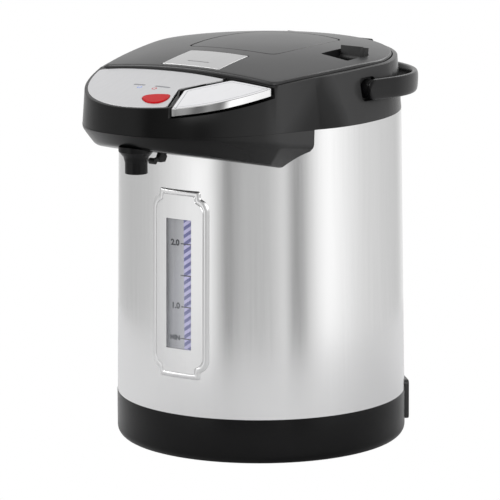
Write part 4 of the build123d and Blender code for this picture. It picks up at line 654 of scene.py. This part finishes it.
sleeve_steel = metal("satin steel sleeve", (0.80, 0.80, 0.80), 0.16, (700, 700, 6), depth=0.03, bump=0.01)
gauge_steel = metal("pressed gauge frame", (0.78, 0.78, 0.78), 0.28, (500, 500, 8), depth=0.03, bump=0.006)
tank_steel = metal("tank steel", (0.62, 0.62, 0.62), 0.3, (60, 60, 2500))
pin_steel = metal("pin steel", (0.6, 0.6, 0.6), 0.3, ALL_WAYS)
cast_metal = metal("cast aluminium", (0.55, 0.55, 0.56), 0.5, (600, 600, 600), depth=0.15, bump=0.1)
brass = metal("brass", (0.75, 0.56, 0.26), 0.28, ALL_WAYS)
panel_silver = metal("silver panel lacquer", (0.72, 0.72, 0.73), 0.34, ALONG_X, depth=0.05, metallic=0.55)
latch_silver = metal("silver latch plate", (0.66, 0.66, 0.66), 0.30, ALONG_X, depth=0.05, metallic=0.85)
paddle_silver = metal("silver paddle lacquer", SILVER, 0.12, ALONG_X, depth=0.03, bump=0.004)
# its base colour is painted shade, by the way each side faces
paddle_side_painted_shade = painted_light_by_facing(metal("silver paddle edge with painted shade", SILVER, 0.12, ALONG_X, depth=0.03, bump=0.004), PADDLE_PAINTED_SHADE)
paddle_white = metal("silver white film", SILVER, 0.34, ALONG_X, depth=0.03, metallic=0.1)
window_clear = clear("clear window", (0.9, 0.93, 1.0), 0.04, 0.10)
tube_clear = clear("clear level tube", (0.85, 0.88, 1.0), 0.06, 0.35)
stripes = striped("striped scale print", (0.56, 0.53, 0.80), (0.115, 0.115, 0.32), 5.6, 0.68)
scale_grey = faded("grey scale print", SCALE_TONES, -WINDOW_HALF, SCALE_SPLIT)

CAD_FINISH = {node_name: material for material, names in {
    black_gloss: "base_ring spout_nozzle panel_tray carry_handle",
    black_head_painted_light: "collar nose_underside",
    black_satin: "inlet_bezel lid_cover press_plate",
    black_matte: "bottom_plate neck_ring cup_lever paddle_cradle paddle_switch lid_base latch_bolt lock_lever",
    rubber: "rubber_feet bellows",
    silicone: "tank_seal intake_hose riser_hose spout_pipe lid_gasket",
    white_plastic: "thermostats pump_housing pump_impeller air_pump_base steam_valve",
    green_board: "power_board control_board",
    pin_steel: "base_screws impeller_axle pump_motor cup_lever_pin paddle_pin paddle_spring bellows_spring latch_pin "
               "lock_lever_pin lid_hinge_pin handle_pivots",
    tank_steel: "inner_tank lid_liner", brass: "inlet_pins", sleeve_steel: "body_shell", cast_metal: "heater_plate",
    gauge_steel: "gauge_bezel", window_clear: "gauge_window", tube_clear: "sight_tube", scale_backing: "scale_strip",
    panel_silver: "control_panel", red_lens: "boil_light", blue_lens: "warm_light", red_plastic: "reboil_button",
    paddle_silver: "dispense_paddle", latch_silver: "latch_plate"}.items() for node_name in names.split()}


def finish(piece, material):
    """Makes the material the piece's only one."""
    piece.data.materials.clear()
    piece.data.materials.append(material)


def dress(piece, body, material, *replaced):
    """Gives a piece its finish and body, and hides the CAD nodes it stands for."""
    finish(piece, material)
    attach(piece, body)
    if replaced:
        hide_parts(*replaced)


for node_name, material in CAD_FINISH.items():
    finish(nodes[node_name], material)

# ---- stage ----
FLOOR_R, FLOOR_Z = 0.50, -0.0002
WHITE = (1, 1, 1, 1)
BANDS = [(-180, .52), (-160, .74), (-140, .74), (-124, .50), (-96, .45), (-66, .49), (-48, .63), (-32, .76), (-18, .94),
         (-8, .88), (1, .50), (7, .17), (12, .34), (21, .45), (29, .43), (42, .46), (48, .58), (54, .74), (60, .20),
         (67, .28), (75, .65), (82, .86), (90, 1.0), (104, .84), (124, .66), (154, .58), (179, .52)]
CEILING = [(0.55, 0.0), (0.85, 1.0)]        # share of the light ceiling over the height, 0.5 being level


def studio_world():
    """Studio round the pot: white to the camera; for reflections a ring of panels whose brightness is a table over
    the compass, with a soft light ceiling; an even pale light for everything else."""
    world = bpy.data.worlds.new("studio")
    bpy.context.scene.world = world
    world.use_nodes = True
    tree = world.node_tree
    tree.nodes.clear()
    way = split_place(tree, "Generated")
    over = ramp(tree, compute(tree, "MULTIPLY_ADD", way["Z"], 0.5, 0.5), CEILING)
    panels = add_node(tree, "Mix", {"Factor": over, "A": compass_tone(tree, way, BANDS), "B": (0.5, 0.5, 0.5, 1)},
                      data_type="RGBA").outputs["Result"]
    gloss, even, white = (add_node(tree, "Background", {"Color": color, "Strength": strength}).outputs[0]
                          for color, strength in ((panels, 1.3), ((0.8, 0.8, 0.81, 1), 0.75), (WHITE, 1.0)))
    path = add_node(tree, "LightPath", {}).outputs
    light = add_node(tree, "MixShader", {0: path["Is Glossy Ray"], 1: even, 2: gloss}).outputs[0]
    seen = compute(tree, "MAXIMUM", path["Is Camera Ray"], path["Is Transmission Ray"])
    add_node(tree, "OutputWorld", {0: add_node(tree, "MixShader", {0: seen, 1: light, 2: white}).outputs[0]})


def studio_floor():
    """Round pale floor: it looks white to the camera and reflects as a pale table."""
    bpy.ops.mesh.primitive_circle_add(vertices=96, radius=FLOOR_R, fill_type="NGON", location=(0, 0, FLOOR_Z))
    floor = bpy.context.object
    floor.name = "floor"
    material, tree, shader = principled("floor", {"Base Color": (0.8, 0.8, 0.8, 1), "Roughness": 0.9,
                                                  "Specular IOR Level": 0.0})
    seen = add_node(tree, "LightPath", {}).outputs["Is Camera Ray"]
    white = add_node(tree, "Emission", {"Color": WHITE}).outputs[0]
    mix = add_node(tree, "MixShader", {0: seen, 1: shader.outputs[0], 2: white}).outputs[0]
    fill(tree, tree.nodes["Material Output"], {"Surface": mix})
    finish(floor, material)


def lamp(name, place, aim, size, watts):
    """Square lamp that faces its aim."""
    data = bpy.data.lights.new(name, "AREA")
    data.shape, data.size, data.energy = "SQUARE", size, watts
    light = in_scene(name, data)
    light.location = place
    light.rotation_euler = (Vector(aim) - Vector(place)).to_track_quat("-Z", "Y").to_euler()


studio_world()
studio_floor()
lamp("key", (-1.3, -0.9, 1.5), (0, 0, 0.2), 1.0, 14)
lamp("fill", (1.5, -1.0, 0.9), (0, 0, 0.15), 0.9, 7)
lamp("back", (0.2, 1.5, 1.3), (0, 0, 0.25), 1.0, 9)
bpy.context.scene.view_settings.view_transform = "Standard"

# ---- nose underside ----
CREASE_Z, CREASE_SLOPE, CREASE_INSET = 229.0, 0.148, 0.5
KEEL_Z, KEEL_Y, KEEL_SLOPE, KEEL_INSET = 216.3, -80.8, 0.236, 10.0
KEEL_MIDDLE = np.array((0.0, -72.0))
SEAM_Z, PARTING_SLOPE, BACK_Y = SLEEVE_TOP - 0.05, 0.044, -60.0
ROUND_FROM_Y, ROUND_RUN = -85.0, 60.0       # the roundings grow forward from here, over this way
HIDDEN_R = 99.0                             # nearer to the axis than this, the shell is behind the steel


def rising(z, slope, from_y):
    """Height function of a plane that is at z where y is from_y, and rises forward."""
    return lambda x, y: z + slope * (from_y - y)


def nose_ring(z, slope, inset, flank, from_y=FLANK_END_Y):
    """Line round the nose on a plane that rises forward: left flank, ellipse tip, right flank."""
    plane = rising(z, slope, from_y)
    lean = (max(plane(0, JOIN_Y), SLEEVE_TOP) - SLEEVE_TOP) / (RIM_Z - SLEEVE_TOP)
    join_x, tip = nose_tip(lean, inset, 180, endpoint=True)
    back_x = join_x + flank * (BACK_Y - JOIN_Y)
    left = np.linspace((-back_x, BACK_Y), (-join_x, JOIN_Y), 14, endpoint=False)
    right = np.linspace((join_x, JOIN_Y), (back_x, BACK_Y), 15)[1:]
    return at_height(np.vstack([left, tip, right]), plane)


def nose_underside():
    """Lower shell of the nose: upright wall from the seam down to the crease, a bevel whose roundings grow in step
    with the way forward, and a flat bottom that rises forward. It runs on behind the steel and is left out there."""
    seam = nose_ring(SEAM_Z, PARTING_SLOPE, 0.0, FLANK_SLOPE)
    lip = np.column_stack([pulled(seam[:, :2], 2.0), seam[:, 2]])
    crease = nose_ring(CREASE_Z, CREASE_SLOPE, CREASE_INSET, FLANK_SLOPE)
    keel = nose_ring(KEEL_Z, KEEL_SLOPE, KEEL_INSET, 0.0, KEEL_Y)
    inner = at_height(KEEL_MIDDLE + (keel[:, :2] - KEEL_MIDDLE) * 0.86, rising(KEEL_Z, KEEL_SLOPE, KEEL_Y))
    forward = np.clip((ROUND_FROM_Y - seam[:, 1:2]) / ROUND_RUN, 0, 1)
    edge = soft_profile([lip, seam, crease, keel, inner], [0, 0.3, 2.2 + 9.0 * forward, 2.0 + 2.0 * forward, 0], 9)
    middle = np.stack([inner * (s, 1, 1) for s in (0.7, 0.45, 0.2, 0.0)], 1)
    grid = np.concatenate([edge, middle], 1)
    inside = (np.linalg.norm(grid[..., :2], axis=-1) < HIDDEN_R) & (grid[..., 2] < SLEEVE_TOP + 1)
    drop = inside[:-1, :-1] & inside[1:, :-1] & inside[1:, 1:] & inside[:-1, 1:]
    return skin("nose_underside_shell", grid, closed_path=False, drop=drop)


# ---- lid ----
LID_LOW, LID_THICK = 268.0, 2.4
PRESS_HALF, PRESS_Y0, PRESS_Y1, PRESS_LOW, PRESS_MID = 36.5, -37.0, 51.0, 282.6, (0, 7)
LATCH_HALF, LATCH_Y0, LATCH_Y1, LATCH_MID = 24.6, -87.6, -51.0, (0, -69)
LATCH_OPENING = box_outline(-LATCH_HALF - 0.5, LATCH_HALF + 0.5, LATCH_Y0 - 0.5, LATCH_Y1 + 0.9)
GROOVE, GROOVE_MID = (-9.0, 9.0, -78.3, -76.9), (0, -77.6)
LUGS_X, LUG_LONG, LUG_R, LUG_Y, LUG_Z = (-22.6, 18.6), 4.0, 1.9, -52.9, 285.97
FLAP, FLAP_MID = (58.0, 81.0, -9.0, 21.0), (69.5, 6)
FLAP_OPENING = box_outline(*FLAP, 1.5)
LATCH_DEPTH, FLAP_DEPTH, WELL_WALL = 7.5, 9.5, 1.5
VENTS_X, VENT_WIDE, VENT_MID_Y = (63.0, 69.0, 75.0), 2.0, -1.5
KNUCKLE_R, KNUCKLE_HALF, KNUCKLE_Y, KNUCKLE_Z = 3.8, 31.2, 91.5, 278.5
EAR_X, EAR_Y0, EAR_Y1, EAR_Z0 = 37.4, 86.9, 104.0, 260.0            # room for the collar's hinge ears
CURB_GAP, CURB_WIDE, CURB_LOW = 0.65, 1.95, 270.2
PUMP_KEEP, PADDLE_KEEP = 0.66, 0.5          # share of their height that pressed bellows and springs keep


def bowed_side(p0, p1, bow, count):
    """Points from p0 to p1 along a parabola that stands out by bow, to the right of the way."""
    p0, p1 = np.array(p0, float), np.array(p1, float)
    s = np.linspace(0, 1, count, endpoint=False)[:, None]
    along = (p1 - p0) / np.linalg.norm(p1 - p0)
    return p0 + (p1 - p0) * s + np.array((along[1], -along[0])) * bow * 4 * s * (1 - s)


def press_outline(grow):
    """Barrel-shaped outline of the press plate, made larger all round."""
    h, y0, y1 = PRESS_HALF + grow, PRESS_Y0 - grow, PRESS_Y1 + grow
    sides = [bowed_side((-h, y0), (h, y0), 1.5, 70), bowed_side((h, y0), (h, y1), 4.0, 84),
             bowed_side((h, y1), (-h, y1), 10.0, 76), bowed_side((-h, y1), (-h, y0), 4.0, 84)]
    return rounded_outline(np.vstack(sides), [0, 70, 154, 230], 5.5 + grow, steps=12)


def well(name, outline, depth, centre):
    """Pocket under the lid's surface: inner wall, floor, outer floor and outer wall."""
    brim, deep, deeper = (lowered(lid_height, drop) for drop in (1.2, depth, depth + WELL_WALL))
    inner, outer = offset(outline, -0.05), offset(outline, -WELL_WALL)
    rows = [at_height(outer, brim), at_height(inner, brim), at_height(inner, deep), *to_middle(inner, deep, centre, 3)]
    under = [at_height(outer, deeper), *to_middle(outer, deeper, centre, 3)]
    return skin(name, np.stack(under[::-1] + rows, 1))


def lid_shell():
    """Crowned lid shell with a rolled edge; the openings for press plate, latch, lever and hinge are cut out."""
    outline = lid_outline()
    inner, far = pulled(outline, 2.6), pulled(outline, 6.5)
    top, under, foot = lid_height, lowered(lid_height, LID_THICK), level(LID_LOW)
    corners = [at_height(inner, foot), at_height(outline, foot), at_height(outline, top), at_height(far, top)]
    edge = soft_profile(corners, [0, 0.4, 2.0, 0], 8)
    over = to_middle(far, top, (0, 0), 26)
    below = [at_height(inner, under), *to_middle(inner, under, (0, 0), 12)][::-1]
    shell = skin("lid_shell", np.concatenate([np.stack(below, 1), edge, np.stack(over, 1)], 1))
    return cut(shell, [through("cut_press", press_outline(0.6), PRESS_MID),
                       through("cut_latch", LATCH_OPENING, LATCH_MID), through("cut_flap", FLAP_OPENING, FLAP_MID),
                       block("cut_ear_right", (KNUCKLE_HALF, EAR_Y0, EAR_Z0), (EAR_X, EAR_Y1, OVER_HEAD)),
                       block("cut_ear_left", (-EAR_X, EAR_Y0, EAR_Z0), (-KNUCKLE_HALF, EAR_Y1, OVER_HEAD))])


def curb():
    """Rib round the press plate's opening, from the lid's floor to its top."""
    inner = press_outline(CURB_GAP)
    outer = offset(inner, -CURB_WIDE)
    top, floor = lowered(lid_height, 1.5), level(CURB_LOW)
    rows = [at_height(inner, top), at_height(inner, floor), at_height(outer, floor), at_height(outer, top)]
    return skin("press_curb", np.stack(rows, 1), closed_profile=True)


def latch_plate():
    """Flat plate over the latch with a finger groove."""
    outline = box_outline(-LATCH_HALF, LATCH_HALF, LATCH_Y0, LATCH_Y1, 0.8)
    body = plate("latch_cover", outline, lowered(lid_height, -0.2), lowered(lid_height, 2.4), 0.5, LATCH_MID, 16)
    groove = prism("cut_groove", box_outline(*GROOVE), lowered(lid_height, 1.4), level(OVER_HEAD), GROOVE_MID)
    return cut(body, [groove])


def press_pad():
    """Press plate: crowned like the lid, with a rounded edge, hollow underneath within its rim."""
    pad = plate("press_pad", press_outline(-0.35), lid_height, level(PRESS_LOW), 0.8, PRESS_MID, 22)
    hollow = prism("cut_hollow", press_outline(-2.8), level(PRESS_LOW - 5), lowered(lid_height, 2.6), PRESS_MID)
    return cut(pad, [hollow])


def vent_slot(x):
    """Vent slot in the floor of the lever's recess."""
    outline = box_outline(x, x + VENT_WIDE, VENT_MID_Y - 4.5, VENT_MID_Y + 4.5, 0.8)
    top, bottom = lowered(lid_height, FLAP_DEPTH - 0.08), lowered(lid_height, FLAP_DEPTH + 0.4)
    return plate("vent_slot", outline, top, bottom, 0.0, (x + VENT_WIDE / 2, VENT_MID_Y), 2)


# ---- control panel and paddle ----
PANEL_MID, PADDLE_MID, BUTTON_MID = (-15, -125), (50, -125), (13.5, -149)
LIGHTS_Y, LIGHT_R, DOT_R = -131.4, 1.9, 1.15
MARKS_Y, MARK_HALF = -126.9, 1.0


def curve_and_sides(curve, points):
    """Closed outline: a curve, then straight sides through the points back to its start. It also returns the
    places of the curve's end and of the points."""
    rest, places = polyline([tuple(curve[-1]), *points, tuple(curve[0])])
    return np.vstack([curve[:-1], rest[:places[-1]]]), [len(curve) - 1 + place for place in places]


def panel_outline():
    """Left and front sides along the nose's rim, then the paddle's boundary with its knee, and the rear edge."""
    rim = offset(RIM, 1.5)[:COUNTS[0]]
    rim = rim[(rim[:, 1] < -94.2) & (rim[:, 0] < 29.6)]
    path, places = curve_and_sides(rim, [(29.8, -159.6), (16.9, -126.4), (36.9, -98.4), (12.0, -96.9), (-10.0, -96.3),
                                         (-32.0, -95.6), (-55.0, -94.7)])
    return rounded_outline(path, [*places[1:4], 0], 2.2)


def paddle_outline():
    """Front side a little proud of the nose, a polynomial over the knots' number, then the rear edge and the
    straight boundary with the knee."""
    knots = np.array([(36.2, -163.2), (41.2, -158.4), (46.9, -152.3), (52.2, -145.9), (57.3, -138.9), (62.8, -129.9),
                      (67.6, -119.3), (71.3, -108.4), (75.6, -96.6)])
    s = np.linspace(0, len(knots) - 1, 90)
    side = np.column_stack([np.polyval(np.polyfit(np.arange(len(knots)), line, 4), s) for line in knots.T])
    path, places = curve_and_sides(side, [(42.6, -98.6), (23.2, -128.4)])
    return rounded_outline(path, [0, *places[:3]], 1.6)


def button_outline(grow):
    """Half-moon: a nearly straight rear edge and a round front."""
    curve = closed_curve([(7.4, -155.2), (12.8, -157.9), (18.4, -157.5), (21.6, -154.0), (22.1, -147.7), (20.2, -142.0),
                          (18.2, -140.1), (11.5, -141.6), (5.9, -144.3), (2.9, -147.5), (3.1, -150.9)], 110)
    return offset(curve, -grow)


# ---- carry handle ----
PIVOT_Y, PIVOT_Z, BAIL_R, BAIL_TURN_Y, BAIL_FRONT_Y = -7.2, 264.5, 104.6, 18.0, -15.2
BAIL_TALL, ARM_THICK, GRIP_THICK, ARM_END_R = 15.2, 3.6, 9.5, 7.6
BAIL_LEAN = math.radians(-3.8)
BOSS_R, BOSS_IN_X, BOSS_OUT_X = 7.0, 95.0, 102.0
SQUARENESS = 0.62       # power on the section's cosine and sine: 1 is an ellipse, 0 an oblong


def handle_bail():
    """Sweep round the rear: the section is a rounded oblong that is thin along the arms and grows to the grip as
    the sine squared of the turn; at the arms' ends it closes as a half circle. All of it leans about the pivots."""
    way = np.concatenate([ARM_END_R * (1 - np.cos(np.linspace(0.0, math.pi / 2, 12))),
                          np.linspace(ARM_END_R, BAIL_TURN_Y - BAIL_FRONT_Y, 22)[1:]])
    shrink = np.sqrt(np.clip(1 - (np.clip(ARM_END_R - way, 0, None) / ARM_END_R) ** 2, 0.0004, 1))
    turn = np.linspace(0, math.pi, 90)[1:-1]
    ones, zeros, arm_y = np.ones(len(way)), np.zeros(len(way)), BAIL_FRONT_Y + way
    nx = np.concatenate([ones, np.cos(turn), -ones])
    ny = np.concatenate([zeros, np.sin(turn), zeros])
    y = np.concatenate([arm_y, BAIL_TURN_Y + BAIL_R * np.sin(turn), arm_y[::-1]])
    tall = np.concatenate([shrink, np.ones(len(turn)), shrink[::-1]]) * BAIL_TALL / 2
    thick = ARM_THICK + (GRIP_THICK - ARM_THICK) * ny ** 2
    a = np.linspace(0, 2 * math.pi, 40, endpoint=False)
    across, upward = (np.sign(wave) * np.abs(wave) ** SQUARENESS for wave in (np.cos(a), np.sin(a)))
    depth = thick[:, None] / 2 * (across - 1)
    dy, dz = (y[:, None] + ny[:, None] * depth) - PIVOT_Y, tall[:, None] * upward
    grid = np.stack([nx[:, None] * (BAIL_R + depth), PIVOT_Y + dy * math.cos(BAIL_LEAN) - dz * math.sin(BAIL_LEAN),
                     PIVOT_Z + dy * math.sin(BAIL_LEAN) + dz * math.cos(BAIL_LEAN)], -1)
    return skin("handle_bail", grid, closed_path=False, closed_profile=True, caps=True)


# ---- level gauge ----
SLEEVE_R_LOW, SLEEVE_R_TOP, BASE_TOP = 104.7, 102.0, 34.0
WINDOW_Z0, WINDOW_Z1 = 82.0, 176.0
GAUGE_MID = np.array((0, (WINDOW_Z0 + WINDOW_Z1) / 2))
RIM_SECTION = [(0.0, -0.4), (0.0, 0.35), (0.12, 0.85), (0.3, 1.3), (0.5, 1.55), (0.7, 1.6), (0.86, 1.45),
               (0.96, 1.15), (1.0, 0.8)]        # share of the way from the frame's rim to its field, and how proud
FIELD_PROUD, FIELD_FALL = 1.3, 0.15
SCALE_Y, SCALE_HALF, SCALE_Z0, SCALE_Z1 = -102.2, 13.5, 79.0, 179.0
PRINT_Y = SCALE_Y - 0.1


def on_sleeve(xz, proud):
    """Points on the leaning steel sleeve's front, moved out from it."""
    x, z = xz.T
    r = SLEEVE_R_LOW + (SLEEVE_R_TOP - SLEEVE_R_LOW) * (z - BASE_TOP) / (SLEEVE_TOP - BASE_TOP) + proud
    return np.stack([x, -np.sqrt(r * r - x * x), z], -1)


def soft_outline(corners, radii, sides, steps=6):
    """Closed outline with a fixed number of points on each side and each rounded corner."""
    p = np.array(corners, float)
    before, after = np.roll(p, 1, 0) - p, np.roll(p, -1, 0) - p
    reach = [min(r, 0.49 * np.linalg.norm(b), 0.49 * np.linalg.norm(a)) for r, b, a in zip(radii, before, after)]
    start = [q + b / np.linalg.norm(b) * r for q, b, r in zip(p, before, reach)]
    end = [q + a / np.linalg.norm(a) * r for q, a, r in zip(p, after, reach)]
    s = np.linspace(0, 1, steps, endpoint=False)[:, None]
    out = []
    for i, (corner, count) in enumerate(zip(p, sides)):
        out.append(bend(start[i], corner, end[i], s))
        out.append(np.linspace(end[i], start[(i + 1) % len(p)], count, endpoint=False))
    return np.vstack(out)


def plaque_outline(half, z0, z1, step_x, step_z, knee_x, knee_z, side_z):
    """Oblong whose four corners are stepped in with a slanting shoulder."""
    top_left = [(step_x - half, z1), (step_x - half, z1 - step_z), (knee_x - half, z1 - knee_z), (-half, z1 - side_z)]
    top_right = [(-x, z) for x, z in top_left[::-1]]
    low_left, low_right = ([(x, z0 + z1 - z) for x, z in side[::-1]] for side in (top_left, top_right))
    return soft_outline(top_right + top_left + low_left + low_right, [4.0, 3.0, 1.6, 1.8, 1.8, 1.6, 3.0, 4.0] * 2,
                        [3, 3, 3, 24, 3, 3, 3, 70] * 2)


def gauge_plaque():
    """Pressed frame on the sleeve: a rounded rim with stepped corners, a fine groove inside it, a flat field, and
    the window's opening with its wall."""
    rim = plaque_outline(24.0, 61.0, 197.0, 6.6, 5.2, 2.6, 7.2, 11.8)
    field = plaque_outline(20.2, 64.6, 193.4, 6.4, 4.6, 2.4, 6.2, 10.2)
    inner = GAUGE_MID + (field - GAUGE_MID) * (0.975, 0.995)
    way = inner - GAUGE_MID
    reach = np.array((WINDOW_HALF - 0.1, (WINDOW_Z1 - WINDOW_Z0) / 2 - 0.1)) / np.maximum(np.abs(way), 1e-6)
    window = GAUGE_MID + way * reach.min(1, keepdims=True)
    rows = [on_sleeve(rim + (field - rim) * s, proud) for s, proud in RIM_SECTION]
    rows += [on_sleeve(inner + (window - inner) * s, FIELD_PROUD - FIELD_FALL * s) for s in np.linspace(0, 1, 8)]
    rows += [on_sleeve(window, 0.9), on_sleeve(window, -2.2)]
    return skin("gauge_plaque", np.stack(rows, 1))


def upright(name, x0, x1, z0, z1, y, thick=0.3):
    """Flat upright plate, given by its limits."""
    rows = [np.array([[x0, q, z0], [x1, q, z0], [x1, q, z1], [x0, q, z1]], float) for q in (y + thick, y)]
    middle = [np.tile(row.mean(0), (4, 1)) for row in rows]
    return skin(name, np.stack([middle[0], rows[0], rows[1], middle[1]], 1))


def words(name, text, height, x, z, y):
    """Short printed text as thin geometry, right edge at x and centred on z."""
    curve = bpy.data.curves.new(name, "FONT")
    curve.body, curve.align_x, curve.align_y = text, "RIGHT", "CENTER"
    curve.size, curve.extrude, curve.offset = height * 1.38 * MM, 0.05 * MM, 0.24 * MM
    source = in_scene(name + "_source", curve)
    mesh = bpy.data.meshes.new_from_object(source.evaluated_get(bpy.context.evaluated_depsgraph_get()))
    bpy.data.objects.remove(source)
    bpy.data.curves.remove(curve)
    mesh.transform(Matrix.Translation((x * MM, y * MM, z * MM)) @ Matrix.Rotation(math.radians(90), 4, "X"))
    return clean_piece(name, mesh)


# ---- the pieces, each on its body ----
SOFT = {"collar": (1.2, "pot"), "base_ring": (0.6, "pot"), "spout_nozzle": (0.5, "pot"),
        "cup_lever": (0.4, "cup_switch"), "lock_lever": (0.4, "lock"), "inlet_bezel": (0.5, "pot")}
for node_name, (width, body) in SOFT.items():
    dress(softened(node_name, width), body, CAD_FINISH[node_name], node_name)

dress(nose_underside(), "pot", black_head_painted_light, "nose_underside")
dress(lid_shell(), "lid", black_satin, "lid_cover")
dress(curb(), "lid", black_satin)
dress(well("latch_well", LATCH_OPENING, LATCH_DEPTH, LATCH_MID), "lid", black_matte)
dress(well("lever_well", FLAP_OPENING, FLAP_DEPTH, FLAP_MID), "lid", black_satin)
for x in VENTS_X:
    dress(vent_slot(x), "lid", black_matte)
knuckle_ends = [(x, KNUCKLE_Y, KNUCKLE_Z) for x in (-KNUCKLE_HALF, KNUCKLE_HALF)]
dress(rod("lid_knuckle", KNUCKLE_R, *knuckle_ends), "lid", black_satin)
dress(latch_plate(), "latch", latch_silver, "latch_plate")
for x in LUGS_X:
    lug_ends = [(end, LUG_Y, LUG_Z) for end in (x, x + LUG_LONG)]
    dress(rod("latch_lug", LUG_R, *lug_ends, edge=0.2, turns=32), "latch", latch_silver)
dress(press_pad(), "press", black_satin, "press_plate")

for node_name, body, joint, keep in (("bellows", "lid", "press_plate_slide", PUMP_KEEP),
                                     ("bellows_spring", "lid", "press_plate_slide", PUMP_KEEP),
                                     ("paddle_spring", "pot", "paddle_press", PADDLE_KEEP)):
    folding = own_copy(node_name, node_name + "_folding")
    shade_smooth(folding)
    dress(folding, body, CAD_FINISH[node_name], node_name)
    low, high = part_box(node_name)
    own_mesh(folding)

film = nose_plate("panel_film", panel_outline(), 0.12, 0.9, 0.25, PANEL_MID, 14)
dress(cut(film, [through("cut_button", button_outline(0.35), BUTTON_MID)]), "pot", panel_silver, "control_panel")
dress(nose_plate("paddle_plate", paddle_outline(), 0.4, 4.7, 0.35, PADDLE_MID, 12, low_r=0.3), "paddle", paddle_side_painted_shade,
      "dispense_paddle")
dress(nose_plate("paddle_face", offset(paddle_outline(), 0.45), 0.42, 0.0, 0.0, PADDLE_MID, 10), "paddle", paddle_white)
dress(strip("paddle_line", paddle_outline(), 2.6, 0.35, lowered(nose_height, -0.43)), "paddle", ink_grey)
dress(nose_plate("button_cap", button_outline(0.0), 1.0, 3.0, 0.9, BUTTON_MID, 8), "button", red_plastic,
      "reboil_button")
for name, x, material, node_name in (("warm", -12.9, blue_lens, "warm_light"), ("boil", -0.3, red_lens, "boil_light")):
    place = (x, LIGHTS_Y)
    dress(nose_plate(name + "_ring", circle(*place, LIGHT_R), 0.2, 2.0, 0.1, place, 3), "pot", material, node_name)
    dress(nose_plate(name + "_dot", circle(*place, DOT_R), 0.22, 0.5, 0.0, place, 3), "pot", paddle_silver)
for x0, x1 in ((-21.0, -11.2), (-2.8, 10.0)):
    bar = box_outline(x0, x1, MARKS_Y - MARK_HALF, MARKS_Y + MARK_HALF, 0.3)
    dress(nose_plate("mark_bar", bar, 0.15, 0.3, 0.0, ((x0 + x1) / 2, MARKS_Y), 2), "pot", ink_grey)

dress(handle_bail(), "handle", black_gloss, "carry_handle")
for side in (-1, 1):
    boss_ends = [(side * x, PIVOT_Y, PIVOT_Z) for x in (BOSS_IN_X, BOSS_OUT_X)]
    dress(rod("handle_boss", BOSS_R, *boss_ends), "handle", black_gloss)

dress(gauge_plaque(), "pot", gauge_steel, "gauge_bezel")
dress(upright("scale_face", -SCALE_HALF, SCALE_SPLIT, SCALE_Z0, SCALE_Z1, SCALE_Y), "pot", scale_grey, "scale_strip")
dress(upright("scale_stripes", SCALE_SPLIT, SCALE_HALF, SCALE_Z0, SCALE_Z1, SCALE_Y), "pot", stripes)
for name, z, x0 in (("tick_2_0", 158.1, 0.8), ("tick_1_5", 135.2, 0.5), ("tick_1_0", 112.4, 0.8),
                    ("tick_low", 89.3, 0.0)):
    dress(upright(name, x0, 10.0, z - 0.35, z + 0.35, PRINT_Y, 0.1), "pot", ink_black)
for name, text, height, z in (("number_2", "2.0", 4.3, 158.4), ("number_1", "1.0", 4.3, 112.7),
                              ("number_low", "MIN", 3.4, 89.5)):
    dress(words(name, text, height, -0.3, z, PRINT_Y), "pot", ink_black)
